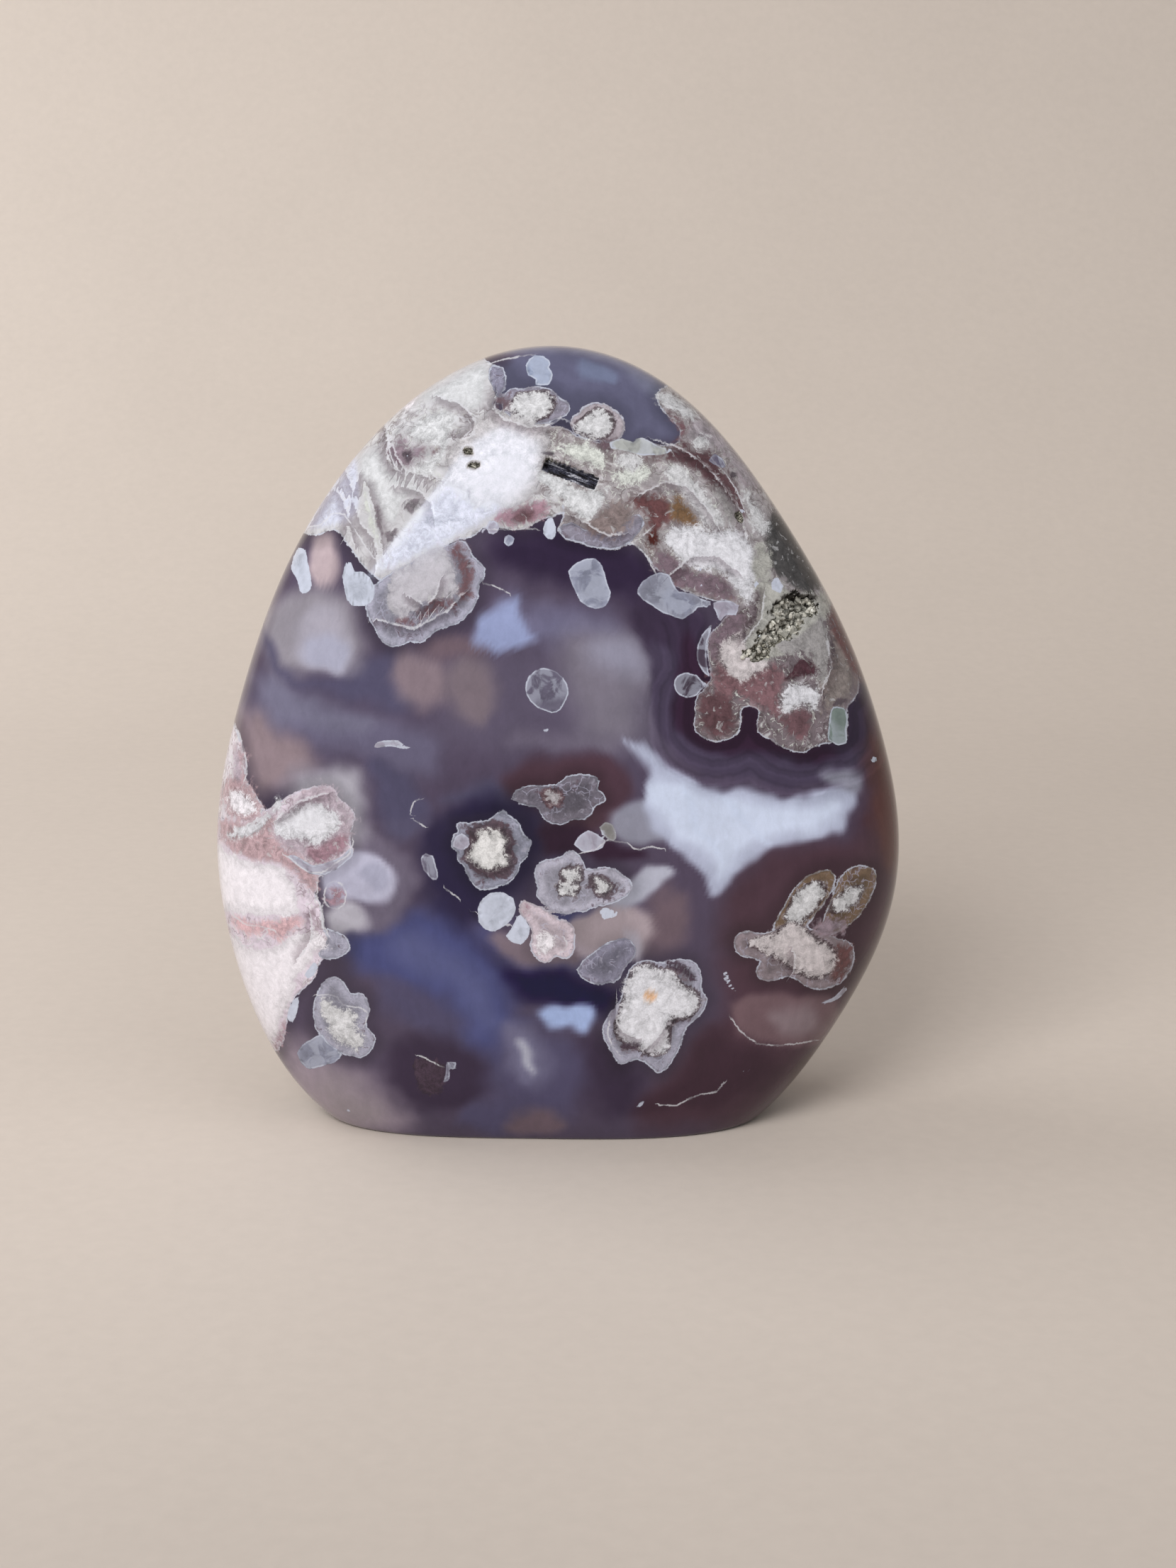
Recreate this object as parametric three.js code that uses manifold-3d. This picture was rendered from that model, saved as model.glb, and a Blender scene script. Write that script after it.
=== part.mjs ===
// A polished freeform of blue flower agate: one egg-shaped slab of stone, domed on both faces,
// leaning back a little and cut flat across its foot, so that it stands on its own.
// Millimetres. +X is to the right of the face, +Y towards the back, +Z up.
// The origin is the middle of the stone's extent, at the level of its foot.
import * as THREE from "three";
import { mergeVertices } from "three/addons/utils/BufferGeometryUtils.js";
import Module from "manifold-3d";

const wasm = await Module();
wasm.setup();

// Driving dimensions of the stone
const middleHeight = 44; // height of the outline's middle above the foot
const outlineRadii = [
  47.7, 46.6, 49.8, 58.9, 63.3, 56.0, 49.1, 46.9, 48.8, 52.4, 54.6, 51.4, 53.2, 51.3, 49.3,
]; // from the middle to the edge, one every 24 degrees from +X, over the top and under the foot
const faceDepth = 20; // from the middle to the front face
const backDepth = 21; // from the middle to the back
const squareness = 2.7; // section exponent: 2 is an ellipse, more is flatter with tighter edges
const topTaper = 0.28; // share of the thickness that is lost at the top
const taperStart = 45; // height where the stone starts to thin
const taperEnd = 110;
const leanBack = 0.07; // how far the stone leans back for each millimetre of height
const footBlock = 160; // size of the block that is cut away below the foot

// Density of the mesh
const faceCells = 32; // cells across each face
const bandCells = 12; // cells from the front face to the back, round the edge
const faceShare = 0.9; // share of the outline that the face cells cover

// Open cavities in the front face: x and z of the middle, half sizes across and up, depth, turn in degrees
const roughCavities = [
  { x: 32.6, z: 73.7, across: 3.9, up: 1.9, depth: 2.4, turn: 4 },
  { x: 30.2, z: 71.1, across: 4.2, up: 1.7, depth: 1.5, turn: 20 },
  { x: 27.0, z: 68.4, across: 2.1, up: 1.2, depth: 0.9, turn: 8 },
  { x: 24.7, z: 85.7, across: 0.7, up: 0.9, depth: 0.7, turn: 20 },
  { x: -11.8, z: 94.6, across: 0.9, up: 0.5, depth: 0.7, turn: -20 },
  { x: -11.0, z: 92.8, across: 0.9, up: 0.4, depth: 0.6, turn: 5 },
];
const crystalSlot = { x: 1.9, z: 91.8, length: 7.6, width: 1.9, depth: 1.7, turn: 21.5 };
const roughness = 0.16; // how far the cavities' walls stray from a smooth bowl
const bowlDetail = 3; // how finely the cavities are faceted

const stoneFinish = new THREE.MeshStandardMaterial({
  color: new THREE.Color(0.4, 0.35, 0.43),
  roughness: 0.12,
  metalness: 0,
});

// Radius of the outline in one direction, on the smoothest closed curve through outlineRadii
function outlineRadius(angle) {
  const count = outlineRadii.length;
  let radius = 0;
  outlineRadii.forEach((value, index) => {
    const half = (angle - (index * 2 * Math.PI) / count) / 2;
    const near = Math.abs(Math.sin(half)) < 1e-9;
    radius += value * (near ? 1 : Math.sin(count * half) / (count * Math.sin(half)));
  });
  return radius;
}

function smoothStep(value) {
  const v = THREE.MathUtils.clamp(value, 0, 1);
  return v * v * (3 - 2 * v);
}

// Tapers the thickness towards the top and leans the stone back
function finishPoint(x, y, z) {
  const taper = 1 - topTaper * smoothStep((z - taperStart) / (taperEnd - taperStart));
  return new THREE.Vector3(x, y * taper + leanBack * (z - middleHeight), z);
}

// A point of the skin: angle is round the outline, sweep runs from 0 at the face to PI at the back
function skinPoint(angle, sweep) {
  const reach = Math.sin(sweep) ** (2 / squareness) * outlineRadius(angle);
  const side = Math.cos(sweep);
  const depth = side > 0 ? -faceDepth : backDepth;
  const y = depth * Math.abs(side) ** (2 / squareness);
  return finishPoint(reach * Math.cos(angle), y, middleHeight + reach * Math.sin(angle));
}

// The point of the front face that has the given x and z
function facePoint(x, z) {
  const angle = Math.atan2(z - middleHeight, x);
  const share = Math.hypot(x, z - middleHeight) / outlineRadius(angle);
  return finishPoint(x, -faceDepth * (1 - share ** squareness) ** (1 / squareness), z);
}

function faceNormal(x, z) {
  const step = 0.5;
  const along = facePoint(x + step, z).sub(facePoint(x - step, z));
  const upwards = facePoint(x, z + step).sub(facePoint(x, z - step));
  return along.cross(upwards).normalize();
}

// Spreads a square of cells over a disc: the angle of the place u, w of the square
function discAngle(u, w) {
  if (u === 0 && w === 0) return 0;
  const quarter = Math.PI / 4;
  if (Math.abs(u) >= Math.abs(w)) return quarter * (w / u) + (u < 0 ? Math.PI : 0);
  return Math.PI / 2 - quarter * (u / w) + (w < 0 ? Math.PI : 0);
}

// The skin as the surface of a block of cells, so that face, edge band and back share their vertices
function stoneGeometry() {
  const positions = [];
  const indices = [];
  const known = new Map();
  const bandSweep = Math.asin(faceShare ** (squareness / 2));

  function vertex(i, j, k) {
    const key = `${i},${j},${k}`;
    if (known.has(key)) return known.get(key);
    const u = (2 * i) / faceCells - 1;
    const w = (2 * k) / faceCells - 1;
    const share = faceShare * Math.max(Math.abs(u), Math.abs(w));
    let sweep = bandSweep + (Math.PI - 2 * bandSweep) * (j / bandCells);
    if (j === 0) sweep = Math.asin(share ** (squareness / 2));
    if (j === bandCells) sweep = Math.PI - Math.asin(share ** (squareness / 2));
    const point = skinPoint(discAngle(u, w), sweep);
    known.set(key, positions.length / 3);
    positions.push(point.x, point.y, point.z);
    return known.get(key);
  }

  function quad(a, b, c, d) {
    indices.push(a, b, c, a, c, d);
  }

  for (let i = 0; i < faceCells; i++) {
    for (let k = 0; k < faceCells; k++) {
      quad(vertex(i, 0, k), vertex(i + 1, 0, k), vertex(i + 1, 0, k + 1), vertex(i, 0, k + 1));
      const j = bandCells;
      quad(vertex(i, j, k), vertex(i, j, k + 1), vertex(i + 1, j, k + 1), vertex(i + 1, j, k));
    }
  }
  for (let i = 0; i < faceCells; i++) {
    for (let j = 0; j < bandCells; j++) {
      const n = faceCells;
      quad(vertex(i, j, 0), vertex(i, j + 1, 0), vertex(i + 1, j + 1, 0), vertex(i + 1, j, 0));
      quad(vertex(i, j, n), vertex(i + 1, j, n), vertex(i + 1, j + 1, n), vertex(i, j + 1, n));
      quad(vertex(0, j, i), vertex(0, j, i + 1), vertex(0, j + 1, i + 1), vertex(0, j + 1, i));
      quad(vertex(n, j, i), vertex(n, j + 1, i), vertex(n, j + 1, i + 1), vertex(n, j, i + 1));
    }
  }
  const geometry = new THREE.BufferGeometry();
  geometry.setAttribute("position", new THREE.Float32BufferAttribute(positions, 3));
  geometry.setIndex(indices);
  return geometry;
}

function solidOf(geometry) {
  const bare = geometry.clone();
  bare.deleteAttribute("normal");
  bare.deleteAttribute("uv");
  const merged = mergeVertices(bare, 1e-4);
  return new wasm.Manifold(
    new wasm.Mesh({
      numProp: 3,
      vertProperties: merged.attributes.position.array,
      triVerts: new Uint32Array(merged.index.array),
    }),
  );
}

function geometryOf(solid) {
  const mesh = solid.getMesh();
  const geometry = new THREE.BufferGeometry();
  geometry.setAttribute("position", new THREE.BufferAttribute(mesh.vertProperties, 3));
  geometry.setIndex(new THREE.BufferAttribute(mesh.triVerts, 1));
  geometry.computeVertexNormals();
  return geometry;
}

// Sets a cutter on the face, its local Y along the face's normal, turned about it
function placeOnFace(geometry, { x, z, turn }) {
  const outward = faceNormal(x, z);
  const across = new THREE.Vector3(0, 0, 1).cross(outward).negate().normalize();
  const inward = outward.clone().negate();
  const upwards = across.clone().cross(inward);
  const turned = new THREE.Matrix4().makeRotationY(THREE.MathUtils.degToRad(-turn));
  const basis = new THREE.Matrix4().makeBasis(across, inward, upwards);
  return geometry.applyMatrix4(basis.multiply(turned)).translate(...facePoint(x, z).toArray());
}

function bowlCutter(cavity) {
  const geometry = new THREE.IcosahedronGeometry(1, bowlDetail);
  const position = geometry.attributes.position;
  const point = new THREE.Vector3();
  for (let i = 0; i < position.count; i++) {
    point.fromBufferAttribute(position, i);
    const waves = Math.sin(7 * point.x + 2 * point.z) * Math.sin(6 * point.z - 4 * point.y);
    point.multiplyScalar(1 + roughness * waves);
    position.setXYZ(i, point.x * cavity.across, point.y * cavity.depth, point.z * cavity.up);
  }
  return placeOnFace(geometry, cavity);
}

// The slot left by a dissolved blade of crystal: two steps of a straight-sided trench
function slotCutters({ x, z, length, width, depth, turn }) {
  const trench = new THREE.BoxGeometry(length, 2 * depth, width * 0.6);
  const ledge = new THREE.BoxGeometry(length * 0.72, depth, width * 0.55);
  trench.translate(0, 0, width * 0.2);
  ledge.translate(length * 0.12, 0, -width * 0.22);
  return [trench, ledge].map((geometry) => placeOnFace(geometry, { x, z, turn: -turn }));
}

function footCutter() {
  return new THREE.BoxGeometry(footBlock, footBlock, footBlock).translate(0, 0, -footBlock / 2);
}

let stone = solidOf(stoneGeometry());
for (const cutter of [footCutter(), ...roughCavities.map(bowlCutter), ...slotCutters(crystalSlot)]) {
  stone = stone.subtract(solidOf(cutter));
}

const stoneMesh = new THREE.Mesh(geometryOf(stone), stoneFinish);
stoneMesh.name = "agate_freeform";
const extent = new THREE.Box3().setFromObject(stoneMesh);
const middle = extent.getCenter(new THREE.Vector3());
stoneMesh.position.set(-middle.x, -middle.y, 0);

const freeform = new THREE.Group();
freeform.add(stoneMesh);
export default freeform;
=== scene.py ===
import math

import bmesh
import bpy
import numpy as np
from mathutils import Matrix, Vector, noise
from mathutils.bvhtree import BVHTree


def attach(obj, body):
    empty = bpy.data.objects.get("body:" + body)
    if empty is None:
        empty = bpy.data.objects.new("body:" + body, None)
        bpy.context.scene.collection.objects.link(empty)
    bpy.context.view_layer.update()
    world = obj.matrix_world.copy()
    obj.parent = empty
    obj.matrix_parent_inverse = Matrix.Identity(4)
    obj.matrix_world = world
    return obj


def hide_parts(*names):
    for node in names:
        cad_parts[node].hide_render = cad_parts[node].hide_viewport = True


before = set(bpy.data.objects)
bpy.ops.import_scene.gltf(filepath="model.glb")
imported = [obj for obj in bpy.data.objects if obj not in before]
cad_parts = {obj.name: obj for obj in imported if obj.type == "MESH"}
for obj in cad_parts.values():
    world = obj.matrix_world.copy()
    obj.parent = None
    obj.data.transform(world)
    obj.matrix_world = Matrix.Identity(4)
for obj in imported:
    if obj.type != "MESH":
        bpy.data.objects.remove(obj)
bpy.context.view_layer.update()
print("frame loaded:", list(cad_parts))

scene = bpy.context.scene
mm = 0.001

# Sizes are in millimetres until a mesh is finished. The outline repeats the solid's driving dimensions.
stone = {
    "outlineRadii": [47.7, 46.6, 49.8, 58.9, 63.3, 56, 49.1, 46.9, 48.8, 52.4, 54.6, 51.4, 53.2, 51.3,
                     49.3],
    "middleHeight": 44,
    "faceDepth": 20,
    "backDepth": 21,
    "squareness": 2.7,  # section exponent: 2 is an ellipse, more is flatter with tighter edges
    "topTaper": 0.28,  # share of the thickness that is lost at the top
    "taperStart": 45,
    "taperEnd": 110,
    "leanBack": 0.07,
    "faceShare": 0.9,  # share of the outline that the cells of each face cover
    "faceCells": 168,
    "bandCells": 36,
    "footEdge": 0.9,  # reach of the rounded edge round the flat foot
    "footMargin": 2,  # how far above that edge the skin is still cut into level loops
}

view = {
    "elevation": 14,  # degrees above level
    "distance": 350,  # from the lens to the point it is aimed at
    "aim": (4.25, 0, 46.93),
    "pictureMiddle": (4.25, 50.1),  # where the aimed point lies in the picture plane
    "pictureHeight": 221.2,  # height of the whole picture at the aimed point
}
tilt = math.radians(view["elevation"])
towardsLens = np.array([0, -math.cos(tilt), math.sin(tilt)])
pictureUp = np.array([0, math.sin(tilt), math.cos(tilt)])
lens = np.array(view["aim"]) + towardsLens * view["distance"]


def outlineRadius(angle):  # on the smoothest closed curve through the radii
    radii = np.array(stone["outlineRadii"], float)
    count = len(radii)
    half = (angle[:, None] - np.arange(count) * 2 * math.pi / count) / 2
    near = np.abs(np.sin(half)) < 1e-9
    weight = np.where(near, 1, np.sin(count * half) / (count * np.sin(np.where(near, 1, half))))
    return weight @ radii


def smoothStep(low, high, value):
    v = np.clip((value - low) / (high - low), 0, 1)
    return v * v * (3 - 2 * v)


def finishPoints(x, y, z):  # tapers the thickness and leans the stone back
    taper = 1 - stone["topTaper"] * smoothStep(stone["taperStart"], stone["taperEnd"], z)
    return np.stack([x, y * taper + stone["leanBack"] * (z - stone["middleHeight"]), z], 1)


def facePoints(x, z):  # the points of the front face that have the given x and z
    up = z - stone["middleHeight"]
    share = np.minimum(np.hypot(x, up) / outlineRadius(np.arctan2(up, x)), 0.999)
    power = stone["squareness"]
    return finishPoints(x, -stone["faceDepth"] * (1 - share ** power) ** (1 / power), z)


def skinPoints(u, w, layer):  # u and w are places on a square from -1 to 1, layer runs from face to back
    power = stone["squareness"]
    share = stone["faceShare"] * np.maximum(np.abs(u), np.abs(w))
    bandSweep = math.asin(stone["faceShare"] ** (power / 2))
    sweep = bandSweep + (math.pi - 2 * bandSweep) * layer
    sweep = np.where(layer == 0, np.arcsin(share ** (power / 2)), sweep)
    sweep = np.where(layer == 1, math.pi - np.arcsin(share ** (power / 2)), sweep)
    wide = np.abs(u) >= np.abs(w)
    ratio = np.where(wide, w / np.where(u == 0, 1, u), u / np.where(w == 0, 1, w))
    turned = np.where(wide, math.pi / 4 * ratio + math.pi * (u < 0),
                      math.pi / 2 - math.pi / 4 * ratio + math.pi * (w < 0))
    reach = np.sin(sweep) ** (2 / power) * outlineRadius(turned)
    side = np.cos(sweep)
    depth = np.where(side > 0, -stone["faceDepth"], stone["backDepth"]) * np.abs(side) ** (2 / power)
    return finishPoints(reach * np.cos(turned), depth, stone["middleHeight"] + reach * np.sin(turned))


def skinMesh():  # the surface of a block of cells, so that face, edge band and back share their points
    n, m = stone["faceCells"], stone["bandCells"]
    known, cells = {}, []

    def addCell(*places):
        cells.append([known.setdefault(place, len(known)) for place in places])

    for i in range(n):
        for k in range(n):
            addCell((i, 0, k), (i + 1, 0, k), (i + 1, 0, k + 1), (i, 0, k + 1))
            addCell((i, m, k), (i, m, k + 1), (i + 1, m, k + 1), (i + 1, m, k))
    for i in range(n):
        for j in range(m):
            addCell((i, j, 0), (i, j + 1, 0), (i + 1, j + 1, 0), (i + 1, j, 0))
            addCell((i, j, n), (i + 1, j, n), (i + 1, j + 1, n), (i, j + 1, n))
            addCell((0, j, i), (0, j, i + 1), (0, j + 1, i + 1), (0, j + 1, i))
            addCell((n, j, i), (n, j + 1, i), (n, j + 1, i + 1), (n, j, i + 1))
    i, j, k = np.array(list(known)).T
    mesh = bpy.data.meshes.new("agate_skin")
    mesh.from_pydata(skinPoints(2 * i / n - 1, 2 * k / n - 1, j / m).tolist(), [], cells)
    return mesh


def cutFoot(body):  # flattens what is below the foot, with a small rounded edge along level loops
    reach = stone["footEdge"]
    for height in (reach, 0.5 * reach, 0, -0.5 * reach, -reach):
        low = [f for f in body.faces if min(v.co.z for v in f.verts) < reach + stone["footMargin"]]
        edges = dict.fromkeys(e for f in low for e in f.edges)  # keeps an order, unlike a set
        points = dict.fromkeys(v for f in low for v in f.verts)
        bmesh.ops.bisect_plane(body, geom=[*points, *edges, *low], dist=1e-4, plane_co=(0, 0, height),
                               plane_no=(0, 0, 1))
    for v in body.verts:
        if v.co.z <= -reach:
            v.co.z = 0
        elif v.co.z < reach:
            v.co.z = (v.co.z + reach) ** 2 / (4 * reach)


# Open cavities of the front face: x and z of the middle, half sizes across and up, depth, turn in degrees
cavities = {
    "bowls": [
        (32.6, 73.7, 3.9, 1.9, 2.4, 4), (30.2, 71.1, 4.2, 1.7, 1.5, 20), (27.0, 68.4, 2.1, 1.2, 0.9, 8),
        (24.7, 85.7, 0.7, 0.9, 0.7, 20), (-11.8, 94.6, 0.9, 0.5, 0.7, -20), (-11.0, 92.8, 0.9, 0.4, 0.6, 5),
    ],
    "slot": {"x": 1.9, "z": 91.8, "length": 7.6, "width": 1.9, "depth": 1.7, "turn": -21.5,
             "ledge": 0.45, "end": 0.6, "wall": 0.12},  # shares of the depth, and width of the sloping wall
    "raggedness": 0.35,
    "fineRaggedness": 0.25,
    "unevenDepth": 0.45,
    "openDepth": 0.25,  # from this depth on a point counts as open
    "cuts": 3,  # points added along each edge of the mesh in and round a cavity
    "margin": 1,
}


def faceAxes(x, z):  # a point of the front face with its outward, across and upward directions
    step = 0.5
    spots = facePoints(np.array([x, x + step, x - step, x, x]), np.array([z, z, z, z + step, z - step]))
    outward = Vector(spots[1] - spots[2]).cross(Vector(spots[3] - spots[4])).normalized()
    across = outward.cross(Vector((0, 0, 1))).normalized()
    across = across if across.x > 0 else -across
    upward = outward.cross(across)
    return Vector(spots[0]), outward, across, upward if upward.z > 0 else -upward


def localPlace(co, place, turn):
    origin, _, across, upward = place
    a, b = (co - origin).dot(across), (co - origin).dot(upward)
    c, s = math.cos(math.radians(turn)), math.sin(math.radians(turn))
    return a * c + b * s, b * c - a * s


def bowlDepth(co, bowl, place):
    across, up, depth, turn = bowl[2:]
    if (co - place[0]).length > across + up + cavities["margin"]:
        return 0
    a, b = localPlace(co, place, turn)
    ragged = cavities["raggedness"] * noise.noise(co * 0.9)
    share = math.hypot(a / across, b / up) + (ragged + cavities["fineRaggedness"] * noise.noise(co * 2.7))
    uneven = 1 + cavities["unevenDepth"] * noise.noise(co * 1.6 + Vector((7, 3, 1)))
    return depth * (1 - max(share, 0) ** 3) * uneven if share < 1 else 0


def slotDepth(co, place):
    slot = cavities["slot"]
    a, b = localPlace(co, place, slot["turn"])
    inside = min(slot["length"] / 2 - abs(a), slot["width"] / 2 - abs(b))
    step = slot["ledge"] if b < -0.15 * slot["width"] else 1
    step *= slot["end"] if a > 0.3 * slot["length"] else 1
    return slot["depth"] * step * min(inside / slot["wall"], 1)


def cutCavities(body):  # pushes the skin in, and marks each point with how far inside an opening it lies
    openness = body.verts.layers.float.new("open")
    slot = cavities["slot"]
    slotPlace = faceAxes(slot["x"], slot["z"])
    bowls = [(bowl, faceAxes(*bowl[:2])) for bowl in cavities["bowls"]]
    reaches = [(place[0], max(bowl[2:4]) + cavities["margin"]) for bowl, place in bowls]
    reaches.append((slotPlace[0], slot["length"] / 2 + cavities["margin"]))
    near = [f for f in body.faces if f.normal.y < 0
            and any((f.calc_center_median() - origin).length < reach for origin, reach in reaches)]
    edges = list(dict.fromkeys(e for f in near for e in f.edges))
    fresh = bmesh.ops.subdivide_edges(body, edges=edges, cuts=cavities["cuts"], use_grid_fill=True)
    inner = [g for g in fresh["geom_inner"] if isinstance(g, bmesh.types.BMVert)]
    exact = facePoints(np.array([v.co.x for v in inner]), np.array([v.co.z for v in inner]))
    for v, place in zip(inner, exact):
        v.co.y = place[1]
    for v in dict.fromkeys([*(v for e in edges if e.is_valid for v in e.verts), *inner]):
        deepest, direction = 0, None
        for bowl, place in bowls:
            depth = bowlDepth(v.co, bowl, place)
            if depth > deepest:
                deepest, direction = depth, place[1]
        depth = slotDepth(v.co, slotPlace)
        if depth > 0:
            deepest, direction = depth, slotPlace[1]
        if deepest > 0:
            v[openness] = min(deepest / cavities["openDepth"], 1)
            v.co -= direction * deepest


def surfaceTree(mesh):  # for rays
    return BVHTree.FromPolygons([v.co for v in mesh.vertices], [f.vertices for f in mesh.polygons])


def addObject(name, data):
    made = bpy.data.objects.new(name, data)
    scene.collection.objects.link(made)
    return made


body = bmesh.new()
body.from_mesh(skinMesh())
cutFoot(body)
cutCavities(body)
bmesh.ops.recalc_face_normals(body, faces=body.faces)
agateMesh = bpy.data.meshes.new("agate_stone")
body.to_mesh(agateMesh)
body.free()
agateMesh.shade_smooth()
corners = np.empty(len(agateMesh.vertices) * 3)
agateMesh.vertices.foreach_get("co", corners)
corners = corners.reshape(-1, 3)
middle = (corners.min(0) + corners.max(0)) / 2
shift = np.array([middle[0], middle[1], 0])
triangles = sum(len(f.vertices) - 2 for f in agateMesh.polygons)
print("stone skin:", len(agateMesh.vertices), "points,", triangles, "triangles, shift", shift.round(3))


def pictureOf(points):  # places in the picture plane of points of the unshifted stone
    offset = points - lens
    scale = view["distance"] / -(offset @ towardsLens)
    middleU, middleV = view["pictureMiddle"]
    return offset[:, 0] * scale + middleU, offset @ pictureUp * scale + middleV


class Wire:  # an output socket, so that shader maths can be written as plain expressions
    def __init__(self, graph, socket):
        self.graph = graph
        self.socket = socket

    def beside(self, output):  # another output of the same node
        return Wire(self.graph, self.socket.node.outputs[output])

    def maths(self, operation, *others):
        return self.graph.node("ShaderNodeMath", {"operation": operation}, dict(enumerate((self, *others))))

    def __add__(self, other):
        return self.maths("ADD", other)

    def __sub__(self, other):
        return self.maths("SUBTRACT", other)

    def __rsub__(self, other):
        return self.maths("MULTIPLY", -1) + other

    def __mul__(self, other):
        return self.maths("MULTIPLY", other)

    def __abs__(self):
        return self.maths("ABSOLUTE")

    __radd__ = __add__
    __rmul__ = __mul__


class Graph:  # a tree of nodes
    def __init__(self, tree):
        self.tree = tree
        tree.nodes.clear()

    def node(self, kind, settings=None, sockets=None, output=0):
        made = self.tree.nodes.new(kind)
        for name, value in (settings or {}).items():
            setattr(made, name, value)
        for name, value in (sockets or {}).items():
            if isinstance(name, int):
                socket = made.inputs[name]
            else:
                socket = next(s for s in made.inputs if name in (s.identifier, s.name))
            if isinstance(value, Wire):
                self.tree.links.new(value.socket, socket)
            else:
                socket.default_value = value
        return Wire(self, made.outputs[output]) if made.outputs else None


def linear(shares):  # screen values from 0 to 1 as light
    return np.where(shares < 0.04, shares / 12.92, ((shares + 0.055) / 1.055) ** 2.4)


class Shader(Graph):  # a material's nodes
    def __init__(self, name):
        self.material = bpy.data.materials.new(name)
        self.material.use_nodes = True
        super().__init__(self.material.node_tree)

    def vector(self, operation, *values):
        return self.node("ShaderNodeVectorMath", {"operation": operation}, dict(enumerate(values)))

    def place(self):  # object coordinates in metres
        return self.node("ShaderNodeTexCoord", output="Object")

    def noise(self, place, scale, detail=2.0, roughness=0.5, distortion=0.0, output=0):
        sockets = {"Vector": place, "Scale": scale, "Detail": detail}
        sockets.update({"Roughness": roughness, "Distortion": distortion})
        return self.node("ShaderNodeTexNoise", {}, sockets, output)

    def mottle(self, place, scale, detail, roughness, distortion=0.0):  # noise spread over -0.5 to 0.5
        return self.step(self.noise(place, scale, detail, roughness, distortion), 0.33, 0.67, -0.5, 0.5)

    def swirl(self, place, scale, reach):  # places pushed about by noise
        return self.vector("MULTIPLY_ADD", self.noise(place, scale, output=1), (reach,) * 3, place)

    def cells(self, place, scale, feature="F1", output="Distance", **others):
        return self.node("ShaderNodeTexVoronoi", {"feature": feature},
                         {"Vector": place, "Scale": scale, **others}, output)

    def attribute(self, name, output="Fac"):
        return self.node("ShaderNodeAttribute", {"attribute_name": name}, {}, output)

    def blend(self, factor, first, second):
        return self.node("ShaderNodeMix", {"data_type": "RGBA", "clamp_factor": True},
                         {"Factor_Float": factor, "A_Color": first, "B_Color": second}, 2)

    def step(self, value, low, high, start=0.0, end=1.0):  # smooth step between two values
        sockets = {"Value": value, "From Min": low, "From Max": high, "To Min": start, "To Max": end}
        return self.node("ShaderNodeMapRange", {"interpolation_type": "SMOOTHSTEP"}, sockets)

    def scaled(self, colour, factor):  # a colour made lighter or darker
        colour = colour if isinstance(colour, Wire) else colour[:3]
        return self.node("ShaderNodeVectorMath", {"operation": "SCALE"}, {0: colour, "Scale": factor})

    def tinted(self, colour, shares):  # a colour with each of its parts made lighter or darker
        return self.vector("MULTIPLY", colour, shares)

    def tone(self, name):
        return (*linear(np.array(tones[name]) / 255), 1)

    def whiteEdge(self, depth, grain):  # the thin pale line just inside an outline
        line = self.step(depth, 0, 0.08) * self.step(depth, 0.1, 0.3, 1, 0)
        return line * self.step(grain, -0.4, 0.2, 0.2, 0.85)

    def surface(self, sockets, ior=1.5):
        skin = self.node("ShaderNodeBsdfPrincipled", {}, {"IOR": ior, **sockets})
        self.node("ShaderNodeOutputMaterial", {}, {"Surface": skin})


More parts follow.
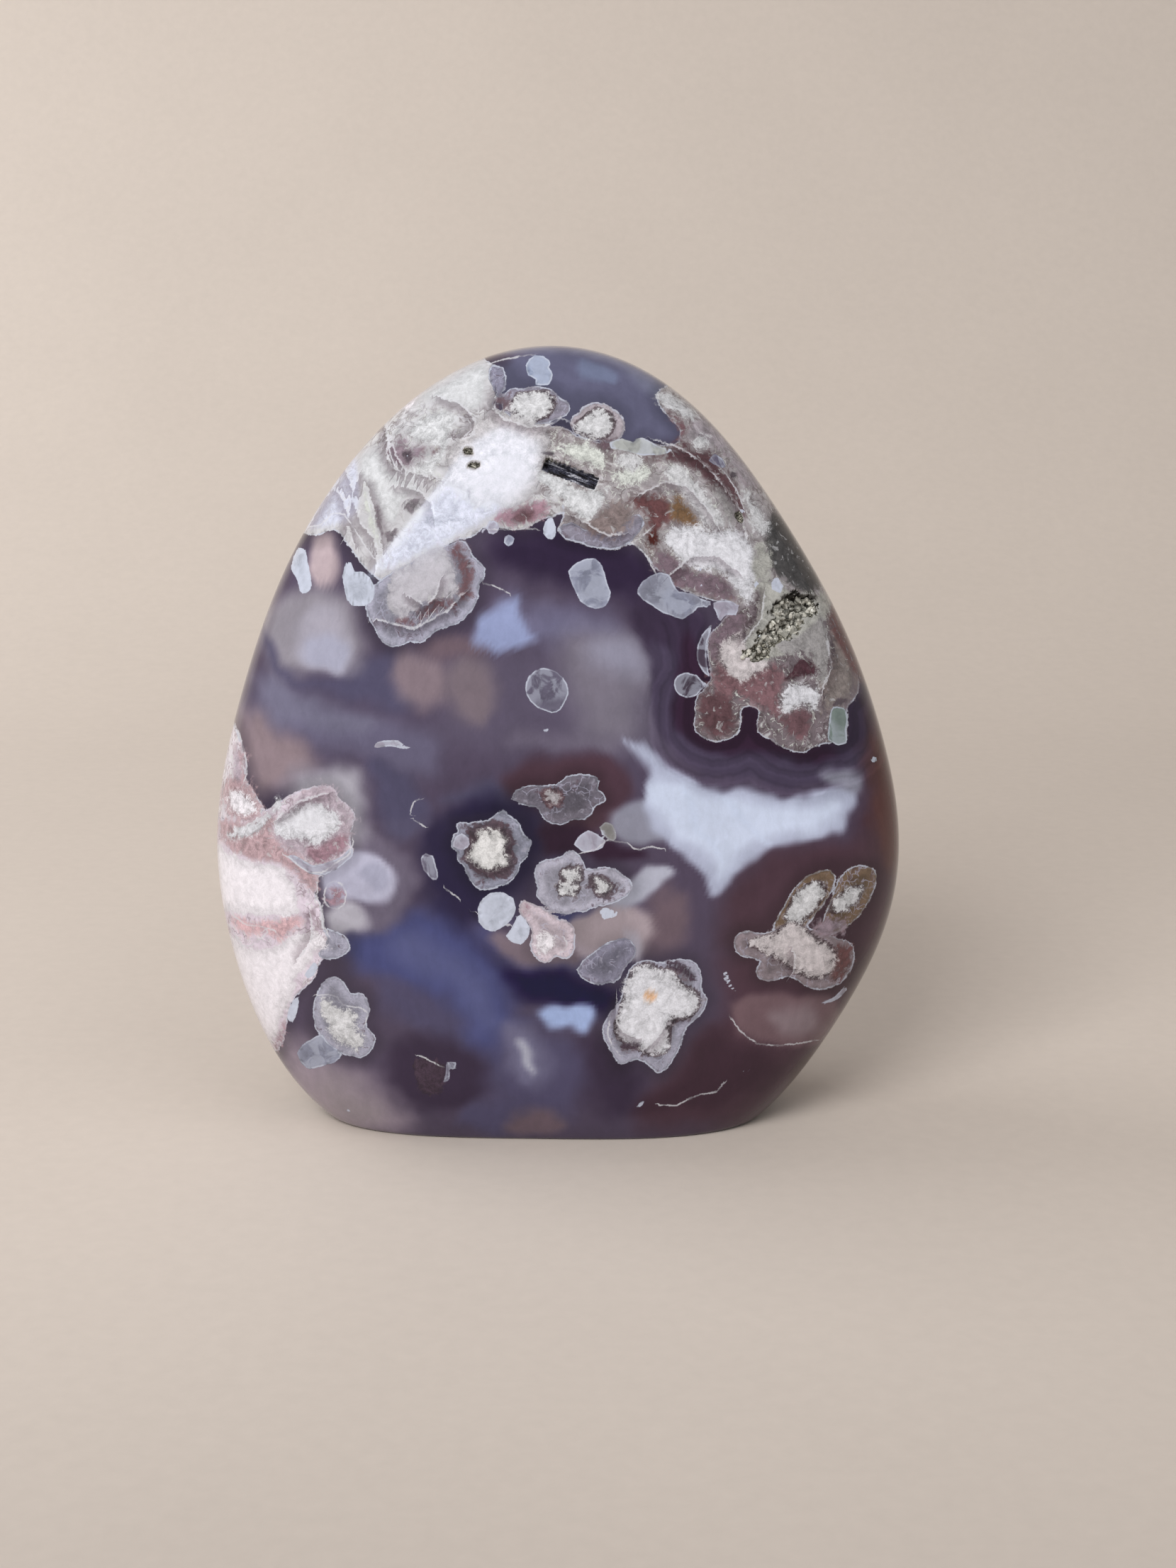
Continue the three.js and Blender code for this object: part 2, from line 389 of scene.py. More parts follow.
# How each tone looks on screen, red, green and blue from 0 to 255
tones = {
    "ground": (76, 67, 86),
    # clouds
    "duskMauve": (85, 78, 97), "topIndigo": (91, 91, 115), "topTaupe": (110, 112, 134),
    "topBlue": (105, 112, 138), "ink": (45, 35, 57), "duskBlue": (106, 104, 131),
    "mauveMist": (114, 109, 123), "paleLilac": (134, 133, 151), "indigo": (96, 92, 115),
    "lilacGrey": (107, 105, 126), "dusk": (77, 74, 98), "rosyTaupe": (132, 117, 124),
    "dustyMauve": (136, 132, 142), "deepWhite": (152, 149, 162), "deepLilac": (153, 154, 173),
    "nightIndigo": (40, 35, 61), "peach": (126, 112, 121), "peachGrey": (111, 100, 109),
    "cocoaMauve": (101, 86, 96), "periwinkle": (137, 147, 184), "cocoaPlum": (73, 53, 64),
    "mistGrey": (132, 133, 149), "milkBlue": (166, 172, 195), "milkWhite": (193, 203, 225),
    "plumNight": (55, 45, 64), "cocoa": (88, 59, 58), "umber": (49, 23, 19), "cocoaNight": (62, 44, 55),
    "rosyDusk": (108, 87, 94), "night": (24, 16, 55), "bluePlum": (67, 71, 114), "deepBlue": (80, 84, 124),
    "duskPlum": (76, 72, 99), "taupe": (153, 141, 153), "beigeTaupe": (142, 133, 140),
    "paleBlue": (153, 171, 212), "haze": (115, 102, 113), "peachMist": (157, 145, 152),
    "paleMauve": (166, 168, 184), "mistLilac": (176, 172, 186), "mauveHaze": (100, 93, 111),
    "iceLilac": (172, 172, 193), "mauveFold": (157, 158, 179), "paleRose": (173, 171, 183),
    # clear quartz of the petals
    "ashCream": (189, 189, 194), "lavender": (198, 202, 219), "slate": (111, 110, 127),
    "greyMauve": (116, 113, 126), "brownGrey": (151, 144, 151), "iceMauve": (138, 138, 153),
    "mauveGrey": (119, 109, 115), "blush": (219, 214, 224), "iceGrey": (119, 121, 136),
    "smoke": (95, 91, 102), "mist": (151, 150, 164), "blushGrey": (177, 166, 175), "olive": (100, 83, 68),
    "crownGrey": (162, 157, 161), "palePink": (212, 201, 215), "quartzGrey": (138, 137, 130),
    "quartzPale": (204, 202, 193), "mossShade": (70, 69, 70), "heartWhite": (176, 174, 178),
    "redRust": (69, 31, 28), "indigoRing": (67, 59, 79), "milkFold": (191, 202, 225),
    "blackPlum": (49, 32, 50), "silver": (190, 191, 201), "gapBrown": (62, 44, 52),
    "caveGrey": (158, 158, 154), "milkDusk": (185, 179, 182), "rimGrey": (146, 144, 145),
    "veilLilac": (168, 168, 179), "mistHalo": (156, 154, 165), "slotSlate": (70, 70, 84),
    # warm quartz
    "rust": (101, 76, 82), "peachWarm": (171, 156, 162), "plumGrey": (126, 113, 123),
    "umberWarm": (100, 92, 99), "plum": (95, 79, 87), "tan": (123, 111, 111), "maroon": (94, 63, 65),
    "gold": (109, 85, 63), "plumRose": (108, 93, 103), "rose": (116, 88, 94), "tanRose": (85, 62, 67),
    "mossGrey": (130, 122, 120), "roseTan": (168, 156, 167), "rosewood": (143, 115, 127),
    "blushRose": (167, 143, 149), "coral": (193, 162, 168),
    # sugary quartz
    "cream": (191, 193, 197), "ashWhite": (192, 193, 197), "straw": (196, 200, 196),
    "milk": (198, 199, 206), "milkRose": (214, 211, 218), "oat": (167, 165, 173), "butter": (200, 200, 201),
    "peachWhite": (157, 153, 158), "apricot": (202, 161, 124),
    # plates and splinters
    "iceBlueGrey": (130, 141, 166), "mintWhite": (157, 160, 159), "iceWhite": (181, 187, 203),
    "lilacIce": (146, 142, 157), "slateIce": (125, 129, 148), "smokeIce": (93, 89, 107),
    "smokePlum": (67, 58, 72), "mint": (108, 121, 117), "iceBlue": (174, 180, 195),
    "mossIce": (118, 117, 117),
    # hollows
    # rockDark is painted shade in the cavities' gaps, on the rough pocket's upper wall and in its shadowed
    # pockets, and also the slot's own dark streaks
    "rockDark": (32, 28, 25), "rockGold": (138, 135, 123), "rockPale": (204, 202, 190),
    "paper": (200, 190, 181), "blackRed": (66, 38, 47), "inkHole": (75, 67, 75), "cocoaSoft": (60, 46, 60),
}

# Outlines of the front face's patterns in millimetres of the picture, each with its name and its tone. An
# outline gives one point after the other, x from the foot's middle and z from the foot.
frontPatterns = {
    "masses": [  # crumbly quartz
        ("crownLeft", "ashCream", [-38, 86.5, -36, 85.4, -34.5, 85, -33, 85.5, -31.5, 86, -30.5, 85.2,
         -29.8, 83.9, -28.8, 82.7, -27.3, 80.4, -24, 78, -20, 79, -15, 84.5, -12, 84.8, -10.5, 86.3,
         -9, 86.4, -7.6, 86, -6, 85.8, -4.6, 86, -3, 86.8, -1.8, 87.8, -0.6, 87.6, 0.6, 88.4, 2, 93, 0, 98,
         -1, 101, -3, 102, -6.5, 102.5, -9, 103.2, -9.2, 104.5, -8.2, 104.5, -7.5, 106, -7.2, 107.6,
         -8, 109, -9.6, 109.4, -12, 112, -18, 109, -25, 104, -32, 97, -38, 90]),
        ("crownRight", "crownGrey", [-2.5, 91, -1, 92, 0.3, 90.5, 1, 88.5, -0.2, 86, 0.7, 84.9, 2, 84.2,
         3.2, 84.2, 4.2, 83.5, 6, 83.3, 8, 83.1, 9.2, 83.5, 10.4, 84.1, 11.5, 83.2, 12.9, 81.8, 13.8, 80.2,
         15, 80, 17, 77.5, 20, 76.5, 22, 75.8, 24, 76, 26, 74.3, 30, 72, 38, 72, 39, 75, 36, 82.5, 33, 88,
         29, 94, 25, 99, 21, 103, 16.5, 107, 13.5, 105.3, 14.5, 103, 16, 101.3, 17.3, 100.2, 17, 98,
         14, 97.9, 12.2, 98.9, 11.2, 99, 10.8, 98.3, 8.8, 98.9, 7, 98.2, 4.5, 98.6, 2.5, 99.2, 1.6, 100.3,
         -1, 101, -3, 98]),
        ("lavenderFolds", "lavender", [-36.5, 86.2, -34, 86.3, -31, 86.8, -28.5, 88, -28, 91, -28.4, 94,
         -28.6, 97, -31, 98, -36, 92]),
        ("rightCluster", "mauveGrey", [26, 75, 23.8, 74, 22.6, 72.6, 21.2, 71, 20.9, 69, 21.2, 67,
         21.6, 65.5, 21.2, 64.2, 20, 63, 19.3, 62, 19.2, 60, 19.1, 57.9, 19.9, 56.8, 21.5, 56.1, 23.5, 56.1,
         25, 56.8, 25.9, 58, 25.8, 60, 26.1, 61.1, 27.9, 61, 28.4, 60.4, 28, 59.2, 28, 57.6, 28.8, 56.8,
         30, 56.4, 31.4, 55.1, 33, 54.7, 34.6, 54.4, 36, 55.1, 37.6, 55.8, 40.8, 56, 41, 58.5, 40.8, 61,
         42, 62, 42.6, 63.5, 42.5, 65.5, 41.8, 67.5, 40.8, 69.5, 39.5, 72, 38.8, 74, 37, 77, 30, 77]),
        ("leftWedge", "blush", [-46.8, 61, -45.6, 58.5, -44.8, 56.5, -44.2, 54.5, -43.9, 52.5, -44, 51,
         -43.2, 49.6, -42, 47.8, -41.4, 46.6, -41.6, 46, -43, 45.3, -44.4, 45, -47, 45, -50, 46, -50, 55]),
        ("leftCluster", "palePink", [-38.6, 48.2, -37.3, 48.9, -35.9, 49.4, -34.5, 49.9, -33.2, 50,
         -32, 49.8, -31.3, 49.2, -30.8, 48.3, -30, 47.6, -29, 46.8, -28.5, 45.8, -28.7, 44.8, -28.9, 43.9,
         -29.3, 42.8, -29, 41.4, -28.9, 40.1, -30.5, 38.8, -33, 37.6, -33.7, 36.9, -34.1, 35.5, -34.3, 34.2,
         -33.4, 33.4, -33.3, 31.5, -33.2, 29.9, -32.3, 28.6, -31.6, 27.7, -31.8, 26.6, -32.4, 25.6,
         -33.7, 25, -34, 22.9, -35.6, 21.4, -37.5, 19.7, -38.2, 16.5, -38.8, 12.7, -41, 12, -45, 20,
         -49, 31, -51, 45, -43, 45.5, -40.4, 47]),
    ],
    "petals": [  # clear grey quartz round the hearts
        ("topLeftIce", "slate", [-9.6, 109.3, -8.3, 109.2, -7.4, 108.5, -7.1, 106.8, -7.6, 105.6,
         -8.2, 104.2, -8.9, 104.5, -9.2, 106, -9.9, 107.5]),
        ("topFlower", "greyMauve", [-8.2, 104.2, -7.5, 105.4, -6.3, 106.2, -5, 105.9, -4, 106.3,
         -2.8, 106.2, -1.2, 106, -0.2, 105.3, 0.6, 104.3, 1.7, 104, 2, 102.8, 1.3, 102, 0, 101.5, -1.2, 101,
         -3, 100.6, -6, 101, -8, 102.8]),
        ("topRound", "brownGrey", [1.6, 100.3, 1.8, 101.3, 1.5, 101.9, 2.8, 102.4, 3.4, 103.4, 5, 103.9,
         6.2, 104, 7.6, 103.3, 9.3, 102, 9.6, 100.5, 9.4, 99.2, 8, 98.3, 6.3, 98.2, 4.5, 98.6, 2.5, 99.2]),
        ("bandFoot", "greyMauve", [-0.2, 86.2, 0.7, 84.9, 2, 84.2, 3.2, 84.2, 4.2, 83.5, 6, 83.3, 8, 83.1,
         9.2, 83.5, 10.4, 84.1, 11.3, 85.3, 12.6, 87.1, 11, 88.6, 9, 86.8, 6.5, 85.4, 4, 86, 1.6, 87.4]),
        ("leftFlower", "iceMauve", [-27.3, 75.2, -26.9, 73.5, -26, 72.3, -25.6, 71, -24.6, 69.8,
         -23.7, 69.3, -22.6, 69.5, -21.8, 69.4, -21, 70.2, -19.8, 69.9, -18.5, 70.2, -17.7, 71.3, -16, 72,
         -14.5, 72.5, -13.4, 73, -12.2, 74.3, -11.3, 75.6, -11, 77, -11.2, 78, -10.3, 79, -10, 80,
         -10.6, 81.2, -11.8, 82.2, -12.5, 83.4, -13.2, 84.6, -15, 84.2, -19, 82.4, -22, 80.8, -25.2, 79,
         -26.8, 77.4]),
        ("leftPetal", "iceMauve", [-33, 29.8, -31.5, 29.5, -30, 28.7, -29.2, 27.5, -29.3, 26.5, -30.5, 25.6,
         -32, 25.2, -33.5, 25.4, -34, 26.3, -32.5, 28]),
        ("lowLeftFlower", "iceMauve", [-34.4, 16, -34.6, 18, -34.2, 20.3, -33.4, 22.2, -32, 23.1,
         -30.6, 22.8, -29.8, 21.6, -29.2, 20.5, -28, 20.7, -27, 20.2, -26.5, 19, -26.5, 17.5, -27.2, 16,
         -26.4, 15.4, -25.5, 14.2, -26, 12.8, -27.3, 11.3, -28.6, 11.5, -30, 11.9, -31.5, 12.3, -33, 13.2,
         -33.6, 14.5]),
        ("roundFlower", "iceGrey", [-14.5, 44.8, -12.7, 44.6, -11, 45.1, -9.9, 44.9, -8.7, 46, -7.8, 46.7,
         -7.2, 46.3, -6.6, 45.4, -5.3, 44.9, -5, 43.3, -3.9, 42.5, -3.5, 41.8, -4.1, 40.7, -4.1, 39.8,
         -5.3, 38.9, -5.3, 37.6, -6.3, 36.7, -7.2, 35.7, -8.1, 35.7, -9.8, 35.1, -10.9, 35.1, -11.8, 35.7,
         -13, 37.1, -13.3, 38.5, -14.4, 39.2, -14.2, 40.3, -15.1, 40.9, -15.1, 42.7, -14.1, 43.3]),
        ("starFlower", "smoke", [-6.9, 48.2, -6.1, 49.2, -4.8, 50, -2, 50, -0.2, 50, 0.6, 50.8, 1.6, 51.4,
         3, 51.6, 4.5, 51.5, 5.7, 51.2, 5.9, 50.4, 5.7, 49.3, 6.4, 48.9, 6.9, 48, 6.3, 47.3, 5.1, 46.8,
         5, 46, 4.2, 45.2, 3.2, 44.8, 1.7, 44.9, 1, 44.3, 0.2, 44.2, -1, 44.5, -2, 45, -2.7, 46, -2.8, 46.6,
         -4.5, 46.9, -5.9, 47.4]),
        ("twinFlower", "mist", [-3.4, 38.2, -2.6, 39.2, -1, 39.6, 0.1, 39.6, 0.8, 40.5, 2, 41, 3, 40.3,
         3.6, 39.2, 4.1, 38, 5, 38.3, 6.5, 38.5, 8, 38.3, 9.2, 37.5, 10.2, 36.6, 10.7, 35.6, 10.4, 34.6,
         9.5, 34, 8.3, 33.3, 6.8, 33, 5.8, 32.8, 4.6, 32.4, 3.5, 31.9, 2.7, 32.1, 1.5, 31.7, 0.6, 31.6,
         -0.7, 32, -1.7, 32.6, -2.5, 33.6, -3.2, 34.6, -2.9, 35.5, -3.3, 36.6]),
        ("pinkFlower", "blushGrey", [-5.6, 33.3, -4.9, 34, -3.9, 33.4, -2.5, 33, -1, 32, 0, 31.2, 1.2, 31,
         2.3, 30.3, 2.6, 29.3, 2.4, 28.2, 2.5, 27, 2, 25.6, 0.7, 25.3, -0.3, 25.8, -1.2, 24.8, -2.3, 24.8,
         -3.3, 25.6, -4, 26.5, -3.9, 28, -3.7, 29.5, -4.6, 30.8, -5.6, 31.8]),
        ("scallopedPlate", "slate", [2.4, 24, 3, 22.9, 4, 22.3, 5, 21.9, 5.8, 21.5, 6.8, 21.9, 8, 22,
         9, 22.8, 9.4, 24, 10.4, 25.1, 11.2, 26, 11.1, 27.2, 10.4, 28.2, 9, 28.6, 7, 27.8, 5, 26.5,
         3.5, 25.2]),
        ("whiteFlower", "iceMauve", [9.5, 23, 10.2, 24.3, 11.5, 25.2, 12.8, 25.3, 14.5, 25, 15.6, 25.2,
         16.9, 25.4, 18.5, 25.5, 19.6, 24.8, 20.3, 23.5, 20.4, 22.2, 20.2, 21.3, 21, 20.3, 21.1, 19,
         20.4, 17.8, 19.3, 16.4, 18.2, 15.9, 17.8, 14.5, 17.3, 12.8, 16.3, 11.2, 15.5, 9.8, 14.3, 9.2,
         13.3, 9.8, 12.2, 10.8, 11.3, 11.2, 10, 10.8, 8.6, 10.4, 8, 11.3, 7.2, 12.7, 6.4, 14, 6.2, 15.6,
         7, 17.5, 8.3, 19, 9.2, 21]),
        ("leafLeft", "olive", [30.1, 29.7, 31, 31.6, 32.3, 34, 33.5, 35.9, 35, 37.2, 36.8, 38, 38.6, 38.3,
         39.4, 36.8, 38.8, 35, 37.5, 33, 36, 31, 34, 29, 31.5, 28.8]),
        ("leafRight", "olive", [39.6, 36.8, 40.6, 38, 42, 38.6, 43.8, 38.6, 45, 37.9, 45.1, 36.3,
         44.4, 34.3, 43.2, 32.2, 41.8, 30.5, 40, 29.3, 38.3, 28.6, 37, 29.5, 37.5, 31.5, 38.3, 33.5,
         39, 35.3]),
        ("leafFoot", "mauveGrey", [24.7, 28, 25.1, 29, 26.2, 29.5, 28, 29.3, 29.7, 29.1, 31, 30, 34, 30.5,
         38.2, 28.8, 39.8, 28.4, 41.2, 28, 42, 26.6, 41.9, 24.8, 41, 23, 39.7, 21.7, 38, 21.1, 36.3, 21,
         34.8, 21.5, 33.5, 22.5, 32.4, 22.9, 31, 22.4, 29.5, 22.1, 28.2, 22.7, 27.7, 23.7, 28.3, 24.5,
         28.4, 25.2, 27.2, 25.5, 25.7, 25.7, 24.8, 26.6]),
    ],
    "warm": [  # pink and brown quartz
        ("leftFlowerRing", "rust", [-15.6, 83.6, -14.2, 84.2, -13.2, 83.4, -12.6, 82, -12.2, 80.3,
         -12, 78.8, -11.9, 77.6, -12.7, 76.2, -14.2, 75.4, -15.8, 74.8, -17.4, 74.2, -19.5, 73.3, -21, 72.4,
         -23, 72.6, -24, 73.3, -22.5, 73.6, -20.8, 73.5, -19.6, 74.5, -18.8, 75.6, -17, 76.3, -14.3, 76.2,
         -13.9, 78, -14, 80, -14.6, 81.5, -15.3, 82.8]),
        ("wedgeStone", "veilLilac", [-26, 80.2, -22, 84.6, -18.6, 89.4, -15.6, 92.2, -12.6, 90, -9, 89.4,
         -5, 91, -6.6, 89, -12, 86.2, -17, 83.6, -22, 81]),
        ("wedgeRing", "blushRose", [-47.6, 49.5, -46.2, 51.5, -45, 55.6, -44.2, 55.6, -44.2, 51.5,
         -42.6, 49, -41.6, 46.8, -42.4, 45.2, -44.6, 44.8, -47, 45.4]),
        ("plumPocket", "plumGrey", [-23.8, 97.2, -22.9, 98.6, -22.2, 99.9, -21.4, 98.2, -20, 97.5,
         -19, 97.8, -17.5, 97.5, -15.6, 97.7, -16.8, 96.6, -18.8, 96.3, -20.3, 95.2, -21.6, 94.4,
         -22.6, 94.6, -23.4, 96]),
        ("pocketStreak", "rust", [-19.4, 97.7, -17.5, 97.6, -15.4, 97.8, -16.8, 96.8, -18.6, 96.7]),
        ("topPlum", "plum", [-9.2, 103, -8.8, 104.8, -8.2, 105.4, -7.4, 104.6, -6.4, 103.6, -7.2, 102.6]),
        ("roundPlum", "plum", [4.6, 98.6, 6.5, 98.7, 8, 99.6, 8.4, 101, 8.7, 99.2, 8, 97.8, 6.6, 96.4,
         5.6, 97.4]),
        ("bandBrown", "tan", [3.4, 86.6, 5, 88, 7, 89.8, 9.4, 90, 11, 88.6, 10.6, 87, 9, 85.4, 6.6, 84.8,
         4.6, 85.4]),
        ("crownBrown", "tanRose", [12, 96.3, 15, 97, 18, 97.3, 21, 97.8, 22.5, 96.8, 23.5, 94.5, 25.5, 91.5,
         26, 89.2, 24.5, 89.3, 22.5, 92, 19.5, 94.5, 16, 95.8, 13, 95.9]),
        ("crownEdge", "brownGrey", [17.2, 98.5, 18.8, 101.2, 21, 102.6, 25, 99, 29.5, 93, 27, 91.6, 25, 94,
         23, 97.4, 20.6, 98]),
        ("crownSpot", "rust", [15.2, 102.6, 16, 103, 16.9, 102, 17.8, 101.2, 18.4, 99.8, 17.6, 99,
         17, 100.6, 15.8, 101.6]),
        ("crownRed", "maroon", [9.5, 90.5, 12, 90.8, 15.5, 90.6, 16.2, 89, 15.8, 87.3, 14.5, 86.3,
         14.2, 84.6, 13.6, 83.3, 12, 84.5, 12.6, 86, 12.8, 87.2, 12, 88.5, 10.5, 89.5]),
        ("crownGold", "gold", [16.4, 91.7, 17.5, 90.5, 19, 89, 20.3, 87.4, 19.5, 86.4, 17.5, 86.7, 16, 87.2,
         15.7, 89, 16, 90.5]),
        ("crownPlum", "plumRose", [14, 82.6, 15, 83.4, 16.4, 82.2, 18, 80.8, 20.4, 80, 22.4, 79.8, 24.2, 79,
         25.2, 77.6, 25.6, 76, 23.6, 76.2, 21.6, 76.4, 19, 77.4, 17, 77.8, 15.4, 79.2, 13.6, 80.4]),
        ("clusterPlum", "plumRose", [21.4, 70.5, 22.8, 72.6, 24.2, 74, 26, 74.3, 26.2, 72.5, 25, 71,
         23.4, 70, 22.8, 68, 21.8, 67.5]),
        ("clusterRose", "rose", [21.5, 65.5, 22.5, 68, 24, 66.5, 26, 65.5, 29, 66.8, 31, 67.5, 32.2, 65.5,
         31.5, 63, 31, 61, 32.5, 60.5, 31, 59.5, 29, 61, 26.5, 62, 24.5, 62.5, 22.5, 62]),
        ("bulb", "tanRose", [20, 62, 19.9, 59, 20.6, 57.4, 22.5, 56.9, 24.5, 57.5, 25.1, 59.5, 25, 61.5,
         23, 63, 21.3, 63.2]),
        ("clusterRust", "rust", [30.5, 60, 32.5, 60, 33.5, 60.8, 35, 60.8, 36.2, 59.5, 35.5, 57.3, 34, 56.4,
         32.2, 57, 31.8, 58.4, 30.6, 59]),
        ("clusterShade", "mossGrey", [37.2, 65, 38.4, 66.8, 38.6, 70, 38, 74, 39.4, 72, 41.2, 69, 42.2, 66,
         42.2, 63.4, 41, 61.8, 38.4, 60.6, 37, 59.4, 37.2, 61.6]),
        ("edgeMaroon", "maroon", [37.5, 74.5, 39, 71, 40.8, 68, 42, 65, 44, 64, 43, 68, 41, 73, 39, 77]),
        ("wedgeRose", "roseTan", [-45.5, 56, -45, 54, -44.6, 51.5, -45, 50.3, -45.8, 51.5, -46, 54]),
        ("flowerRose", "roseTan", [-37.5, 47.6, -36, 49, -34, 50, -32.2, 50, -30.8, 48.8, -29.8, 47,
         -28.6, 45.8, -29, 44.2, -29.1, 42.2, -30, 40.7, -31.8, 39.3, -33.3, 38, -34.5, 38.3, -36, 39.6,
         -38, 40.3, -39.8, 41.8, -40.6, 43.5]),
        ("flowerRoseDeep", "rosewood", [-35.4, 41.4, -33.6, 41.2, -31.8, 42.4, -30.4, 43, -29.4, 42.6,
         -30, 40.9, -31.9, 39.5, -33.3, 38.3, -34.6, 38.9, -35.4, 40.2]),
        ("leftRose", "blushRose", [-48.5, 45, -46, 45.2, -44.3, 44.6, -42.5, 45.3, -41.3, 46.3, -40, 46.3,
         -39.4, 45, -40.4, 43, -39, 41.4, -36.6, 40.2, -35.5, 39.2, -33.9, 37.4, -33.6, 36, -34.3, 34.9,
         -35.8, 35.8, -38, 38.4, -41, 39, -44, 39.4, -47, 41]),
        ("veinRose", "coral", [-46.5, 31.5, -44, 30.8, -41.5, 30.6, -39.5, 31, -37, 31.8, -36, 30.8,
         -37, 29.6, -38.3, 28.3, -39, 27.2, -40.3, 28.6, -42, 29.2, -43.5, 28.6, -45, 29.5]),
        ("leftLine", "rosewood", [-40, 12.4, -39.6, 14.5, -38.8, 17, -38.4, 16, -38.8, 13.4]),
        ("oval", "rosewood", [-32.3, 33.8, -32.3, 35, -31.8, 35.8, -30.9, 35.8, -30.3, 35, -30.3, 33.8,
         -30.8, 32.9, -31.7, 32.9]),
        ("pinkHeart", "rosewood", [-5.2, 33, -4, 33, -3.8, 32, -4.6, 31.4, -5.2, 32]),
        ("starHeart", "rust", [-2.3, 48.9, -1, 49.2, 0.4, 49, 0.9, 48, 0.4, 47.2, -1, 47, -1.9, 47.6]),
        ("whitePlum", "plum", [8.2, 13.8, 9.8, 13.9, 11.2, 13.6, 12.3, 13.4, 11.6, 12.6, 9.8, 12.5,
         8.7, 12.9]),
        ("whitePlumTop", "plum", [14.6, 24.4, 16.6, 24.6, 18.2, 24.2, 18.9, 22.6, 18.2, 21.7, 17.4, 22.6,
         16.4, 23.6]),
        ("leafRust", "maroon", [38.6, 28, 40.5, 27.8, 41.6, 26.3, 41.3, 24.5, 40.2, 22.8, 38.6, 22.3,
         38.8, 24, 39.2, 25.8]),
        ("leafPlum", "plumGrey", [35.7, 29.3, 37, 30.6, 38.8, 31.5, 40.8, 31.2, 41, 29.8, 39.5, 28.8,
         37.8, 28.4]),
        ("topWarm", "blush", [-26, 104, -24.5, 102.6, -22, 102.8, -19.4, 105, -18, 106.4, -20, 108]),
        ("crownRose", "rosewood", [-9.2, 87.4, -8, 88.8, -5.6, 89.8, -3, 90.2, -1.2, 89.6, -1.6, 88.2,
         -3, 87.2, -4.6, 86.3, -6, 86.1, -7.8, 86.4]),
        ("crownRoseCore", "rust", [-6.4, 88.2, -4.4, 89, -3, 88.4, -4.2, 87, -5.8, 86.8]),
        ("crownBlood", "redRust", [11.6, 84.4, 12.6, 85.4, 14.4, 86, 14.8, 84.6, 14, 83.2, 12.8, 83]),
        ("limbMoss", "mossShade", [29.3, 88, 31, 88.8, 33.2, 86.2, 35.8, 82.2, 37.4, 78.5, 36.5, 76.5,
         34.5, 77, 32.3, 78.3, 30.5, 79.5, 29.3, 82, 28.8, 85]),
        ("crownSeam", "tanRose", [17, 99, 19, 98.2, 21.5, 96.5, 24, 93.5, 25.8, 90.5, 26.5, 88.2,
         25.8, 87.8, 24.6, 90, 22.6, 93, 20.4, 95.4, 18.2, 97, 16.4, 97.8]),
    ],
    "sugar": [  # white hearts
        ("crownSnow", "heartWhite", [-14.5, 91.5, -16.2, 93.4, -15.8, 96, -14.6, 98.6, -12.8, 100.4,
         -11.4, 102, -8.4, 102.8, -5, 102.2, -2.4, 101, -0.6, 99.2, -1.4, 96.8, -2.2, 94.6, -2.8, 91.8,
         -4.6, 89.6, -7.4, 88.6, -9.6, 90.2, -11, 88.8, -13, 89.6, -12.4, 91.2]),
        ("leftRibbon", "milk", [-46.6, 43.4, -45, 44, -43.4, 44.5, -42, 45.2, -40.8, 46.4, -39.6, 47.8,
         -38.6, 48.8, -39, 47, -40.2, 45.4, -41.4, 44, -42.8, 43.1, -44.6, 42.4, -46.4, 42.2]),
        ("crownCream", "cream", [-22.5, 94, -21, 93, -18, 93.6, -16.4, 95.4, -15.6, 97.4, -15, 99.4,
         -14.4, 101.6, -15.6, 103, -18, 102.6, -20, 101.4, -21.6, 99.8, -20.4, 98.4, -17.6, 98.2, -16, 97.2,
         -19, 95.6, -21, 94.2]),
        ("crownCreamLow", "cream", [-28, 95, -27, 97, -25, 97, -24.2, 95, -22.6, 93.4, -20.4, 92.6,
         -18.6, 91, -22.4, 90.6, -22.6, 88, -22.8, 86.8, -24.6, 87.2, -25.2, 89.4, -26.4, 91.4,
         -27.6, 92.6]),
        ("crownSide", "cream", [-20.6, 104.4, -18, 105.8, -16.4, 106, -14, 107.6, -11, 109.4, -9.8, 108.4,
         -10.4, 106, -10.4, 104, -12, 102.6, -14, 103.6, -17, 104.2]),
        ("topHeart", "ashWhite", [-6.5, 103.8, -5.5, 105, -4, 105.2, -2.6, 105.4, -1, 104.9, -0.3, 104,
         -0.6, 102.8, -1.6, 101.8, -3.5, 101.2, -5.5, 101.5, -6.3, 102.5]),
        ("roundHeart", "ashWhite", [4, 102.2, 5.3, 102.9, 6.6, 102.9, 7.7, 102, 8, 100.9, 7.7, 99.9,
         6.8, 99, 5.3, 98.8, 4.2, 99.4, 3, 99.4, 2.2, 100, 2.5, 101]),
        ("yellowCrumbs", "straw", [-1, 97.3, 0, 97.8, 3, 98.2, 6, 97.5, 7, 95.5, 6.6, 94.3, 4.6, 94.9,
         2, 96, 0.4, 96.9]),
        ("yellowCrumbsLow", "straw", [7.2, 94, 8.6, 94.6, 11, 94.2, 12.4, 95.2, 13.6, 94.6, 13, 93,
         11, 92.2, 8.6, 92.3, 7.6, 93]),
        ("crownBlob", "ashWhite", [8, 95.8, 9, 97, 10.6, 97.2, 11.8, 96.3, 11.9, 95, 10.6, 94.3, 9, 94.5]),
        ("jaggedVein", "straw", [-27.8, 92, -26.9, 92.4, -26.4, 90, -25.7, 88, -25.2, 86, -24.9, 83.8,
         -25.8, 83.6, -26.4, 85.8, -26.9, 87.8, -27.4, 89.8]),
